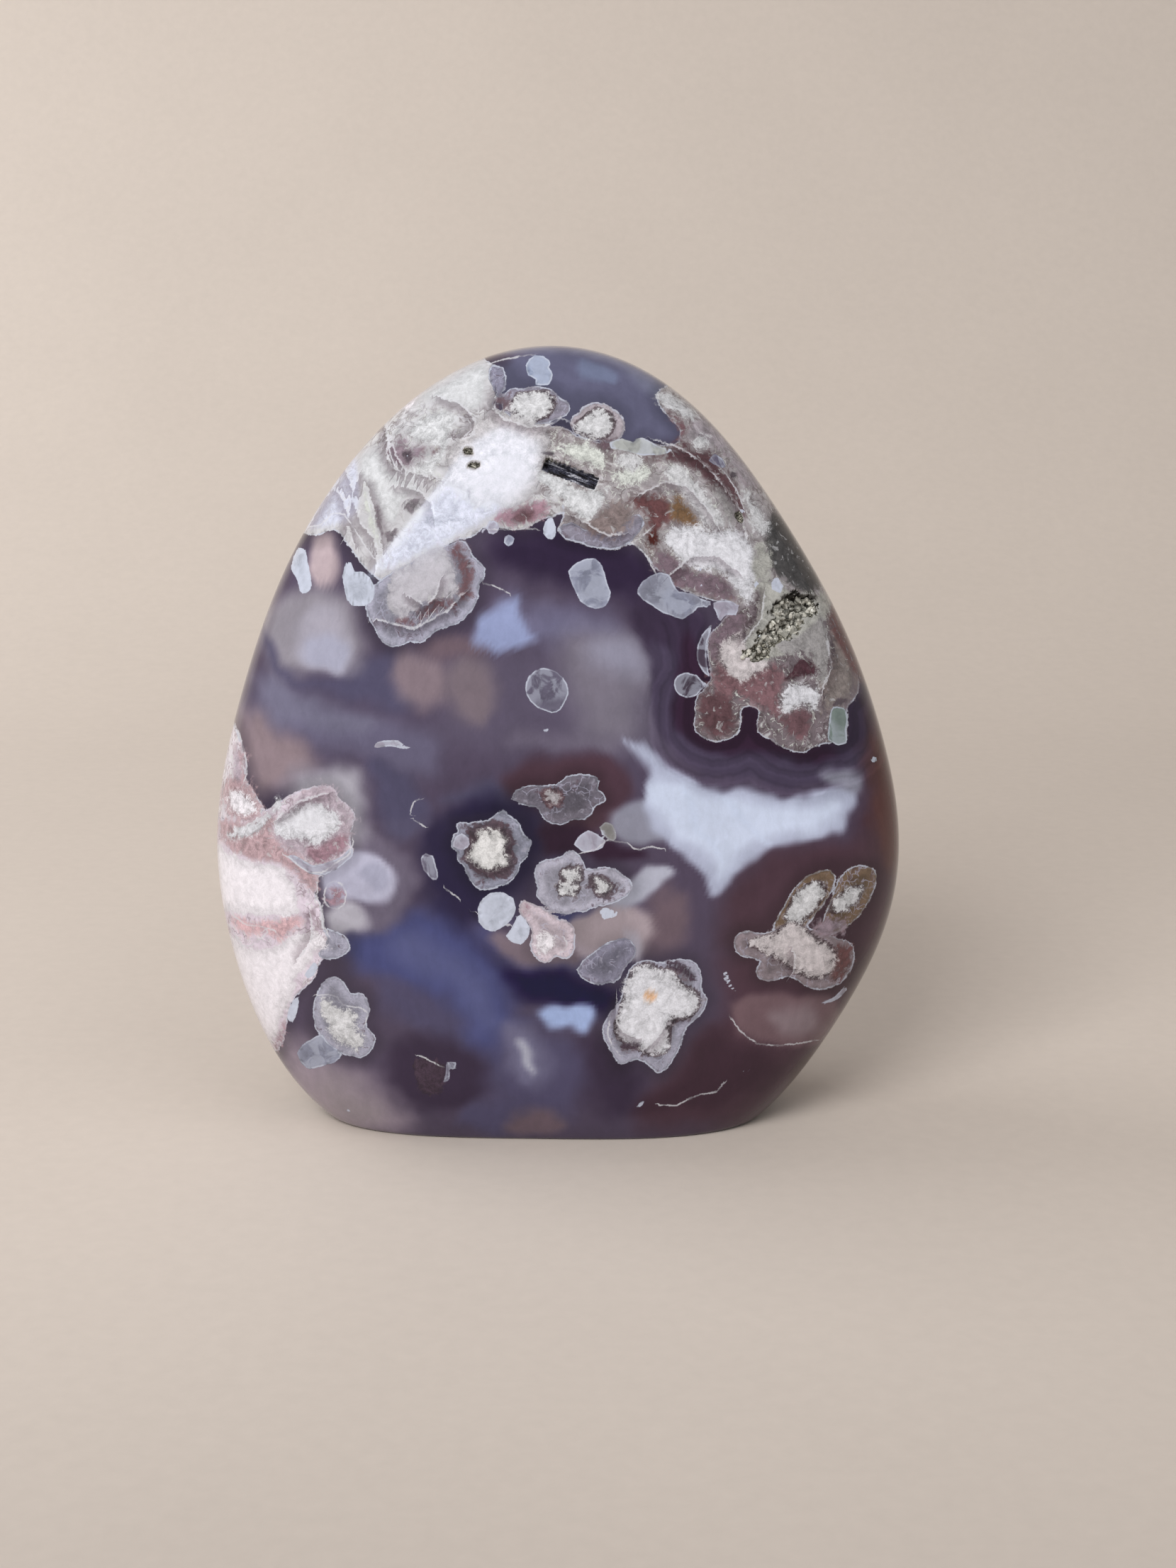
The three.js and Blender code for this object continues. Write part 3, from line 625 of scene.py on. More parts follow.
        ("slotCream", "cream", [-3, 94.8, -0.6, 93.8, 1, 92.8, 3, 91.8, 6, 91.6, 7.6, 92, 6.8, 90.6, 6, 89,
         5, 87.6, 3, 87.4, 1.6, 88.6, 0.4, 90.4, -1.4, 91.8, -2.8, 93]),
        ("crownBand", "ashWhite", [15.8, 95.5, 18, 94.5, 19.5, 93, 21, 91, 23, 88.5, 24, 87, 22.5, 85.8,
         20.6, 86.4, 19.2, 88.8, 17.8, 91, 16.2, 92.7, 14.5, 93.8]),
        ("crownMilk", "milk", [14.5, 84.5, 15.2, 85.8, 17, 86.6, 19.5, 86.3, 22, 85.8, 24.5, 86.2,
         26.5, 85.3, 28, 83.5, 28.5, 81, 27.5, 78.8, 28, 76.6, 27, 75, 25.6, 76.4, 24, 79.2, 22, 80.2,
         20, 80.3, 18, 81.2, 16.3, 82.6]),
        ("crownStripA", "rimGrey", [21.8, 91.6, 23, 92, 24.5, 90, 25.2, 88, 24.6, 86.6, 23.4, 87,
         23.6, 88.6, 22.6, 90]),
        ("crownStripB", "ashWhite", [25.8, 91.5, 27, 91, 29, 88.5, 30, 86, 28.8, 84.6, 27.5, 86.3,
         27, 88.5]),
        ("crownTopA", "ashWhite", [13.5, 104.8, 15.5, 105.4, 18, 104, 20, 101.8, 18.5, 101.4, 16.5, 102.6,
         15, 103.4]),
        ("crownTopB", "ashWhite", [18.8, 98.4, 19.6, 99.6, 21, 99.4, 21.6, 98.2, 20.6, 97, 19.2, 97.2]),
        ("caveRim", "caveGrey", [27.4, 78.6, 29.4, 79.6, 31.6, 78.6, 33.4, 77.2, 36, 77, 38.4, 77.4,
         38.8, 75, 37.6, 72.6, 35.4, 70.4, 33, 68.4, 30.4, 67.6, 27.6, 66.8, 25.6, 67.8, 26, 70.4,
         27.6, 72.4, 28.6, 75]),
        ("mossCrumbs", "caveGrey", [27.5, 84, 29.3, 84.5, 30.2, 82, 30, 79.5, 28.5, 78.5, 27.2, 80.5,
         27.8, 82.5]),
        ("pocketRim", "rimGrey", [30.5, 71.4, 33, 70.1, 36, 72.5, 37.5, 74, 38.2, 71, 38.5, 68, 38, 65,
         36.8, 64.4, 36.6, 66.9, 35.5, 68.3, 34, 68.5, 32.5, 68.1, 31, 69]),
        ("clusterMilk", "milkDusk", [22.8, 69.5, 24.5, 71, 26.2, 71.5, 26.6, 68.4, 29, 67.6, 30.3, 66.8,
         28, 65.6, 26.5, 64.3, 24.8, 64.8, 23.5, 66.2, 22.5, 68]),
        ("clusterSnow", "milk", [31.4, 60.5, 31.3, 62.3, 32.3, 64, 34, 64.5, 35.5, 64.3, 37, 63, 36.9, 61,
         36, 60.1, 34.7, 61.2, 33.6, 61, 32.5, 60.2]),
        ("leftFlowerHeart", "oat", [-24, 78, -24.5, 76.5, -24, 74.7, -23, 73.7, -21, 73.8, -19.8, 74.8,
         -18.6, 76, -17, 76.5, -14.4, 76.3, -14, 77.8, -14.2, 79.6, -14.8, 81.3, -15.6, 83, -17.5, 83.8,
         -19.5, 82.6, -21.6, 81, -23.5, 80]),
        ("wedgeHeart", "milkRose", [-46.6, 48.8, -45.5, 49.5, -44, 49, -43, 48, -42.4, 46.8, -43.2, 45.9,
         -44.6, 45.6, -46, 46.2, -46.7, 47.5]),
        ("leftHeart", "milk", [-40.3, 44.3, -39.5, 45.5, -38.3, 46.2, -37, 47.2, -35.2, 47.3, -33.8, 47.5,
         -32.3, 46.8, -31, 46, -30.6, 44.8, -31.2, 43.4, -32.2, 42.4, -33.4, 41.6, -34.4, 41.2, -35.6, 41.8,
         -37, 42.2, -38.8, 42.6, -39.9, 43.2]),
        ("leftSnow", "milkRose", [-49, 43, -47, 41, -45.3, 39.9, -43.6, 39.3, -42, 38.9, -40.3, 39.1,
         -38.6, 38.3, -37.2, 36.5, -36.5, 34.8, -37, 33.2, -36.2, 31.9, -38, 31.4, -40, 31.6, -42, 31.4,
         -44, 31.6, -45.8, 32.2, -49, 32]),
        ("leftTail", "milkRose", [-49, 29, -45.4, 28.8, -44.6, 27, -42.5, 26.9, -40, 27.2, -38.4, 28.2,
         -37.3, 29, -35, 29.4, -33, 28.7, -31.9, 27.5, -32.5, 26.7, -34.2, 26.4, -34.8, 25.2, -35.6, 24.4,
         -36.5, 23, -37.2, 21.2, -38, 19.3, -38.8, 17, -39.6, 14.5, -41, 12.6, -45, 19]),
        ("lowLeftHeart", "ashWhite", [-33.2, 19.8, -32, 19.8, -31.3, 18.8, -30, 18.4, -28.6, 18.3,
         -28.2, 17.2, -28.6, 16, -28.4, 15.1, -27.3, 14.4, -27.5, 13.4, -28.8, 12.5, -30.2, 12.8,
         -31.3, 13.9, -32.2, 15.2, -33, 17, -33.5, 18.6]),
        ("roundCore", "butter", [-11.6, 43.2, -10.3, 43.6, -8.9, 43.5, -7.6, 43, -7.2, 41.6, -7.3, 40.3,
         -6.9, 39, -7.6, 38.3, -9, 37.8, -10.3, 37.9, -11.6, 38.6, -12.4, 39.8, -12.2, 41, -11.5, 42]),
        ("starCore", "peachWhite", [-1.9, 48.8, -0.9, 49, -0.1, 48.8, 0.5, 48, 0.2, 47.5, -0.8, 47.3,
         -1.4, 47.8]),
        ("twinCoreA", "ashWhite", [0.3, 37.6, 1.4, 38.2, 2.6, 38.3, 3.3, 37.4, 3, 36.4, 1.5, 36.1,
         0.6, 36.6]),
        ("twinCoreB", "ashWhite", [-0.3, 35.8, 1, 36, 2.2, 35.6, 3.1, 35.2, 2.2, 34.6, 0.5, 34.4]),
        ("twinCoreC", "ashWhite", [4.6, 36.8, 5.6, 37.1, 6.8, 36.5, 7.5, 35.5, 6.8, 34.6, 5.6, 35]),
        ("pinkCore", "milkRose", [-3.4, 28.6, -2, 29.4, -0.6, 28.8, -0.3, 27.2, -1.4, 26, -2.9, 26.4]),
        ("whiteHeart", "milk", [9.5, 22.5, 11, 24, 12.5, 24.6, 14.3, 23.6, 16, 23.8, 17, 22.5, 17.8, 21.5,
         19.3, 21, 20.2, 19.8, 19.3, 17.5, 17.7, 17, 16, 16.8, 15.8, 14.5, 15.6, 12.8, 14, 11.8, 12.2, 12.4,
         10.5, 13.5, 8.5, 14, 8, 15.8, 9, 18.5, 9.3, 20.5]),
        ("orangeSpot", "apricot", [12, 20.7, 13.2, 20.8, 14.1, 20.2, 13.5, 19.5, 12.5, 19.6]),
        ("leafLeftHeart", "ashWhite", [32, 31, 32.6, 33.3, 34, 35, 35.6, 36.2, 37.3, 36.4, 37.9, 35,
         37, 33.3, 35.4, 31.3, 34, 30.3]),
        ("leafRightHeart", "ashWhite", [38.2, 33, 39.6, 34.5, 41.4, 35.5, 43, 35.9, 43, 34.8, 41.7, 33.3,
         40, 32, 38.7, 31.8]),
        ("leafFootHeart", "milkDusk", [26.9, 27.6, 28, 28.3, 29.6, 28.6, 31, 29.5, 32.5, 30.5, 34, 30.3,
         35.5, 29, 37, 28, 38.8, 27.2, 39.3, 25.8, 38.8, 24, 37.5, 22.8, 35.8, 22.6, 34.2, 23.3, 33, 24.2,
         32, 24.8, 31, 25.6, 29.5, 26.3, 28, 27]),
    ],
    "plates": [  # splinters of clear crystal
        ("topCrystal", "iceBlueGrey", [-4.6, 109, -4.2, 110, -3.3, 110.6, -2.2, 110.6, -1.2, 109.9,
         -1, 109.3, -1.3, 108.8, -0.7, 108.2, -0.8, 107.2, -1.2, 106.4, -2.2, 106.3, -3.2, 106.4,
         -3.1, 107.2, -4.3, 107.8]),
        ("mintShards", "mintWhite", [7, 98.2, 8.8, 98.9, 10.8, 98.3, 11.2, 99, 12.2, 98.9, 13.8, 98,
         15, 97.5, 17, 97.2, 15, 96.6, 12, 96.4, 9, 97.2, 7.5, 97.4]),
        ("whiteCrystals", "iceWhite", [-2.2, 85.6, -2, 86.6, -1.6, 87.5, -0.8, 87.7, -0.3, 86.6, -0.2, 85.3,
         -0.6, 84.6, -1.4, 84.7]),
        ("bubbleA", "lilacIce", [-10.2, 86.3, -9.8, 87.2, -9, 87.3, -8.3, 86.8, -8.2, 86, -8.8, 85.3,
         -9.7, 85.4]),
        ("bubbleB", "slateIce", [-7.7, 84.5, -7.4, 85.2, -6.7, 85.3, -6.1, 84.8, -6.2, 84, -6.9, 83.6,
         -7.5, 83.9]),
        ("bubbleC", "lilacIce", [-12.2, 84.8, -11.8, 85.3, -11.4, 84.9, -11.7, 84.4]),
        ("bubbleD", "lilacIce", [-11, 85.9, -10.6, 86.2, -10.4, 85.6, -10.7, 85.2]),
        ("hexCrystal", "slateIce", [1.4, 80.3, 2.6, 81.3, 4, 81.9, 5.2, 82, 6.2, 81.1, 6.6, 79.8, 7, 78.3,
         7.5, 77.2, 7.3, 76, 6.5, 75, 5.3, 74.8, 4.2, 75.1, 3, 76, 2.4, 77.4, 1.7, 79]),
        ("roundCrystal", "smokeIce", [-4.6, 64.2, -4.1, 65.4, -3, 66.3, -1.8, 66.5, -0.4, 66.1, 0.8, 65.1,
         1.5, 63.8, 1.5, 62.6, 0.9, 61.4, 0.3, 60.4, -0.6, 60, -1.6, 60.3, -2.8, 60.8, -4, 61.8, -4.6, 63]),
        ("dotCrystal", "smokeIce", [-2.2, 57.6, -1.8, 58.1, -1.3, 57.9, -1.2, 57.3, -1.8, 57]),
        ("palePlates", "iceGrey", [11, 77.2, 11.8, 78.6, 13.2, 79.6, 14.5, 80, 15.8, 79.6, 16.3, 78.3,
         17, 77.3, 18.8, 77, 20.4, 76.2, 22, 75.7, 21, 75, 19.8, 75, 19, 74.2, 17.6, 73.3, 16, 73.8,
         14.6, 74.3, 13.2, 75.3, 12, 76]),
        ("palePlateInner", "slateIce", [14.8, 76.6, 15.4, 77.6, 17, 77.2, 18.6, 76.4, 19.4, 75.4,
         18.2, 74.2, 16.6, 74.4, 15.2, 75.2]),
        ("whitePlate", "lilacIce", [21.5, 75.5, 22.2, 74.6, 22.8, 72.8, 23.6, 74, 25.2, 73.9, 25.6, 75.3,
         24.2, 76, 22.5, 75.9]),
        ("sideLobe", "smokePlum", [21.8, 72.8, 20.4, 71.4, 19.6, 69.5, 19.6, 67.5, 20.5, 65.8, 21.4, 65.2,
         21, 67.5, 21, 70, 21.6, 71.6]),
        ("greyLobe", "smokePlum", [16.2, 64.3, 16.8, 65.4, 18, 65.9, 19.6, 65.5, 20.5, 64.5, 21.3, 64,
         20.2, 63.4, 19.6, 62.5, 18.2, 62.2, 16.8, 62.8]),
        ("silverPlate", "iceWhite", [30, 78.9, 31, 79.3, 31.8, 78, 31.4, 77, 30.2, 77.6]),
        ("greyPlate", "smokeIce", [21.2, 95.6, 22, 96.8, 23.3, 96, 23.7, 94.8, 23.2, 94.6]),
        ("mintPlate", "mint", [39, 61.2, 40.5, 60.8, 41, 59.3, 40.7, 57.8, 40.9, 55.9, 39.4, 55.5, 38, 56.4,
         38.2, 58.5, 38.4, 60.3]),
        ("leftPlates", "iceBlue", [-30.5, 79, -30, 81.3, -29.3, 81.5, -28.6, 80, -27.5, 80.1, -26.3, 79,
         -25.7, 77.5, -26, 75.9, -27.3, 75.2, -29, 75.2, -29.8, 76, -30, 77.4]),
        ("leftFlakes", "iceBlue", [-37.3, 82.2, -36.6, 83.5, -35.6, 83.2, -35.3, 81.5, -34.9, 79.8,
         -34.7, 77.8, -35.4, 77, -36.3, 77, -36.8, 79, -37.7, 80.4]),
        ("blueWhiteA", "iceWhite", [-11.3, 32.7, -10.8, 33.8, -9.5, 34.8, -7.8, 34.9, -6.3, 34, -5.9, 32.6,
         -6.3, 31.3, -7.3, 30.2, -9, 29.2, -10.3, 29.6, -11.2, 30.6]),
        ("blueWhiteB", "iceWhite", [-5.5, 31.9, -4.6, 31, -3.9, 29.8, -4.2, 28.4, -5.2, 27.4, -6.4, 27.7,
         -7.4, 28.6, -6.5, 29.8]),
        ("whiteChip", "iceWhite", [5.7, 32.4, 6.8, 32.7, 8, 32.2, 8.8, 31.8, 7.6, 31.2, 6.4, 31]),
        ("veinPlateA", "lilacIce", [2.2, 41.6, 3, 42.8, 4.2, 43.6, 5.3, 43.2, 6.8, 42.1, 6.3, 41, 5, 40.6,
         3.6, 40.4]),
        ("veinPlateB", "mossIce", [5.8, 44, 6.8, 44.9, 7.8, 44.3, 8.3, 43, 8.2, 42, 7.2, 42.2, 6.3, 43]),
        ("roundChip", "lilacIce", [-14.8, 41.2, -14.7, 42.5, -13.6, 43.2, -12.6, 42.6, -12.4, 41.4,
         -13.4, 40.7]),
        ("blade", "slateIce", [-36.8, 12.2, -36, 13.4, -34, 14.6, -33.2, 14.9, -32.6, 13.8, -31.3, 12.8,
         -30.2, 11.9, -31.5, 10.8, -33.5, 10.2, -35.2, 9.8, -36.3, 10.8]),
        ("silverFlake", "iceWhite", [-36.5, 20.2, -37.2, 19.8, -38, 18.3, -38.2, 17, -37.6, 16.2, -37, 17.2,
         -36.6, 18.6]),
        ("spotBits", "smokeIce", [-15.8, 10.9, -14.4, 10.9, -14.2, 9.8, -15.2, 10, -15.3, 8.3, -16.2, 7.9,
         -15.8, 9.4]),
        ("fracture", "lilacIce", [-26, 55.2, -25.6, 56, -24.3, 56.3, -22.5, 56.3, -21.7, 55.6, -20, 54.9,
         -21.5, 55, -23.5, 55.4]),
        ("sliverA", "lilacIce", [23.3, 23.7, 23.9, 23.6, 24.5, 21.8, 25.6, 20.3, 24.3, 21.2, 23.4, 22.6]),
        ("sliverB", "lilacIce", [36.8, 19.3, 39, 20, 40.6, 21.8, 40.8, 21, 39.5, 19.7, 37.5, 19]),
        ("faintLeaf", "smokeIce", [-19.4, 39.5, -18.9, 40.4, -17.6, 40, -17, 38, -16.8, 36.5, -17.8, 36.6,
         -19, 38]),
        ("leftGlass", "iceWhite", [-34.3, 25.2, -33.8, 24.2, -34.5, 23, -35.3, 22.6, -35.8, 23.2]),
        ("leftStrip", "lilacIce", [-38.6, 40.2, -37, 40, -34.6, 38.6, -32.6, 39, -30.6, 39.8, -29, 41.4,
         -28.9, 40, -30.6, 38.4, -33, 37.2, -35, 37.4, -37, 38.8]),
        ("chipA", "smokeIce", [10.9, 4.3, 11.8, 5.5, 12.3, 5.4, 11.8, 4.6]),
        ("chipB", "smokeIce", [25.7, 9.4, 26.6, 9.9, 27.2, 9.9, 26.5, 9.3]),
        ("edgeChip", "iceWhite", [44.2, 53.2, 44.2, 54, 44.9, 53.9, 45, 53.1]),
    ],
    "pockets": [  # dark hollows under the polish, and painted shadow in the rough pocket
        ("redHollow", "blackRed", [31.8, 64.7, 33, 66.5, 34, 67.9, 35.3, 67.7, 36.4, 66.6, 36.5, 65.7,
         34.5, 65.2, 32.8, 64.9]),
        ("shadeHollow", "inkHole", [38.5, 61.6, 39.8, 62.3, 41.2, 62.2, 40.4, 61.3, 39, 60.9]),
        ("bottomSpot", "cocoaSoft", [-20.3, 11.4, -18.5, 11.5, -16.5, 11.1, -15.8, 10.2, -15.8, 9,
         -16.2, 7.7, -16.3, 6.4, -18, 6.1, -19.8, 6.8, -20, 8, -20.5, 10]),
        ("whiteGapTop", "cocoaSoft", [14.8, 25, 17, 25.2, 19.2, 23.8, 19.8, 22, 18.8, 22, 17.4, 23.6,
         15.2, 24.2]),
        ("whiteGapFoot", "cocoaSoft", [8.2, 13.4, 10.4, 13.8, 12.2, 13.2, 12, 12.6, 10.2, 12.6, 8.8, 12.6]),
        ("plumPocketHeart", "inkHole", [-22, 97, -21, 97.2, -20.3, 96.4, -20.8, 95.4, -21.8, 95.6]),
        ("foldPocket", "umberWarm", [-22.1, 90.1, -18.8, 90.4, -19.4, 89, -20.5, 88.2, -21.8, 88.4]),
        ("foldCleft", "umberWarm", [-24.6, 85.8, -22.2, 86.2, -23, 84.4, -24.2, 83.8]),
        ("foldSlot", "umberWarm", [-26, 90, -25, 89, -24.8, 86.6, -24.5, 84.5, -25.3, 85.5, -25.8, 88]),
        ("pitB", "inkHole", [-2.4, 96.9, -1.4, 97.2, -0.4, 96.7, -1.2, 96.4, -2.2, 96.4]),
        # painted shadow under the rough pocket's upper wall, in this and the next outline
        ("caveRoof", "rockDark", [31.6, 77, 33, 77, 34.6, 76.8, 36.6, 77, 36.4, 75.8, 34.6, 75.6, 33, 75.4,
         31.4, 75.6]),
        ("caveShade", "rockDark", [29.4, 74.6, 31, 75, 33.4, 74.6, 33, 73.8, 30.8, 73.6]),
        ("pitA", "inkHole", [24.1, 93.2, 24.7, 94.4, 25.3, 93.8, 24.9, 92.8]),
    ],
    "lines": [  # thin white lines, one of them a painted reflection along the top edge
        [-24.1, 101.6, -24.2, 100, -23.9, 98.5, -23.8, 96.9, -23, 95, -22.4, 94.2],
        [-27, 91.5, -26.8, 90, -26.1, 88, -25.7, 86, -25.7, 84.6, -25.3, 83.4],
        [3, 40.3, 5.3, 40.8, 6.9, 42.2, 9.8, 41.8, 10.8, 41, 11.4, 40.8, 13, 41.3, 14.7, 40.9],
        [-46, 43, -45, 43.4, -43.6, 44, -42.4, 44.4, -41, 45.6, -39.6, 47, -38.6, 47.5],
        [-45.8, 59, -44.9, 57, -44.3, 55, -43.9, 53, -43.9, 51.5, -44.3, 50.5],
        [-46.5, 30.3, -45, 28, -44.5, 27.2, -43, 27.4, -41.8, 28.4, -41, 29.2],
        [-38.5, 40, -37.5, 39.4, -36.2, 38.2, -34.6, 37.5, -33.2, 37.6, -31.6, 38.8, -29.4, 40.2,
         -28.9, 42],
        [-34.2, 34.5, -33.3, 32.5, -33, 30.3, -32.4, 28.8],
        [-34, 20.3, -32.5, 20.4, -31.2, 20.2, -30.4, 19, -29.6, 18.8, -27.8, 18.5, -26.8, 17.8,
         -27.2, 16.2],
        [14.3, 4.8, 17, 4.8, 18.3, 5.6, 20, 6.3, 22.5, 6.7, 23.4, 8],
        [28, 13.4, 31, 13.2, 34, 13.5, 36.5, 14],
        [0.9, 28.2, 1.5, 27.5, 1, 26.8, 0.4, 26.3],
        [7.3, 16.6, 7, 14.8, 7.6, 13.2, 8.6, 12],
        [-32.8, 33.4, -33, 34.4, -32.6, 35.8, -31.6, 36.5, -30.4, 36, -29.8, 34.6, -30.2, 33, -31.2, 32.4,
         -32.4, 32.8, -32.8, 33.4],
        # painted reflection of the window along the rounded top edge
        [-10, 109.3, -8, 109.9, -5, 110.5, -3.5, 110.7],
        [-9.4, 86, -6, 86, -3, 86.1],
        [-10.2, 78.4, -8.4, 77.8, -7, 77],
        [-36, 86.2, -33.6, 86.6, -31.6, 88.4, -30.2, 88.2, -28.6, 86, -27.4, 84, -26, 82],
        [21.6, 96, 23.4, 94.2, 25.2, 91.6, 26.2, 89],
        [10.4, 84.1, 12, 85.2, 13.4, 86.4],
        [-46.5, 33, -45.8, 31.5, -44, 30.2, -42, 30, -40, 29.5, -38.5, 27.3],
        [-33.8, 37, -34, 35.4, -33.9, 34, -33.6, 33, -33.5, 31.4, -33.2, 29.8],
        [-45, 43.6, -43.4, 44.5, -41.4, 45.6, -39.8, 47.4],
        [-19.5, 11.8, -16.5, 10.3],
        [10.5, 84, 11.8, 83.1, 12.8, 81.8, 13.4, 80.5, 13.8, 79.7],
        [-20.8, 46.3, -20.3, 47.6, -19.4, 48],
        [-20.2, 45, -19.4, 44.4, -18.9, 44.2],
        [-15.8, 35.3, -14.1, 34],
        [-15, 100.8, -13.9, 102, -12.6, 101.6, -12.2, 100.2, -13, 99.2],
        [24.4, 17.2, 25.4, 15.6, 27, 14.2, 28.4, 13.4],
    ],
    "creases": [  # folds painted as shade and highlight: the painted shade of the hollow lies to the right of each line's direction, a painted highlight to the left
        [-24.9, 83.6, -25.1, 86, -25.6, 88, -26.3, 90, -26.8, 92],
        [-28.8, 84.2, -29.6, 87, -29.2, 90, -28.2, 93],
        [-34.8, 87, -33, 90.2, -31.2, 92.4],
        [-23.8, 99, -23, 96.2, -21.4, 94.2, -18.6, 93.4],
        [-24.6, 101.5, -24.2, 99, -24.3, 96.5, -23.4, 94.6, -21.6, 93.6],
        [-33, 93, -30.5, 90.5, -29.6, 87.5, -29.9, 85.5],
        [-31.2, 96.6, -29.4, 93, -28.8, 90, -28.2, 87.6],
        [-16.4, 104.5, -13.8, 103.6, -11.8, 101.6, -12, 99.4, -14.4, 98.8],
        [-8.9, 104.8, -9.2, 102.8, -7.6, 101.4, -4.2, 100.4, -1.6, 100.4, 0.6, 101.6, 2, 100.6],
        [-27.6, 86.4, -26, 84.8, -25.6, 82.4, -25.8, 80.4],
        [-22.4, 92, -20, 91.6, -18, 89.8, -17.6, 87.6],
        [13.8, 98.4, 17, 97.4, 20.6, 95.2, 23.6, 91.6, 25.6, 88.6, 26.2, 86],
        [12, 91, 15.2, 92.6, 18.2, 92, 20.6, 89.4, 22.4, 86.6],
        [16, 79.6, 19, 82.2, 22.6, 82.2, 25, 80.2],
        [29, 76.6, 28.4, 73.2, 26.2, 70.4],
        [37.6, 63.6, 38.8, 66.6, 38.2, 70.2],
        [2.5, 87.5, 4, 86.8, 5.5, 85.7, 7.5, 85, 9, 85.3],
        [-39, 45.5, -36.5, 47.5, -33, 48.6],
        [-35, 31.2, -34.8, 28.2, -36.4, 26],
        [-25.2, 73, -23, 72.6, -20.4, 71.8, -17.8, 73.2, -15.4, 74.4, -13.4, 76.8],
        [-20.6, 76.4, -18.8, 75, -17.4, 76, -16.6, 78.4],
        [-11, 31.5, -9, 30.6, -7, 30],
        [33.2, 26, 33.4, 25, 33, 23.8],
        [8.2, 19.4, 8, 17.2, 9, 15, 10.8, 14.4],
        [12.4, 12.6, 14.4, 14.6, 15.6, 16.8, 17.6, 17.2],
    ],
    "gaps": {  # hearts with a dark ring round them, and its width
        "roundCore": 1.9, "whiteHeart": 0.5, "twinCoreA": 0.7, "twinCoreB": 0.5, "twinCoreC": 1,
        "starCore": 0.8, "leafLeftHeart": 0.3, "leafRightHeart": 0.3, "leafFootHeart": 0.3, "topHeart": 0.3,
        "roundHeart": 0.4,
    },
    "calm": [  # places where the quartz is smooth
        [-27, 78, -24, 80.6, -16, 84.6, -12, 84, -13, 77, -20, 72.6, -25, 72.6],
        [-38, 86, -30, 84, -26.4, 78, -23, 80.2, -12, 85.4, -5, 88.4, -2.4, 93, -6, 97, -12, 93, -16, 92.4,
         -21, 93, -28, 99, -33, 97, -39, 90],
        [-26, 104, -21, 102.4, -16, 103.4, -12, 102.4, -8.6, 104.6, -8, 110, -14, 112, -22, 108],
        [-52, 44, -44, 40.4, -38, 39.4, -36, 34, -35, 31.6, -44, 31, -51, 32],
        [-51, 28.6, -42, 27.4, -37, 29.6, -33, 27, -36, 22, -38, 17, -41, 12, -47, 18],
        [-39, 44.4, -36, 47, -32, 46, -32, 43.6, -36, 43.4],
        [-4, 62, 4, 62, 4, 54, -4, 54],
        [38, 68, 46, 68, 46, 58, 38, 58],
    ],
    "specks": [  # x, z and radius of small white specks, some of them painted glints off tiny pits
        (18, 80.4, 0.3), (20.2, 80.4, 0.35), (20.2, 78, 0.3), (26, 88.6, 0.3), (-12.2, 77.1, 0.3),
        (-21.2, 96.3, 0.3), (-24.7, 50.7, 0.15), (-19.7, 30.5, 0.2), (-29.5, 4, 0.35), (1.8, 47.1, 0.3),
        (-8, 39.2, 0.2), (-28.9, 37.4, 0.3), (28, 78.3, 0.5), (-13.4, 79.4, 0.25), (0, 59.4, 0.2),
        (45.6, 52.6, 0.2),
    ],
}
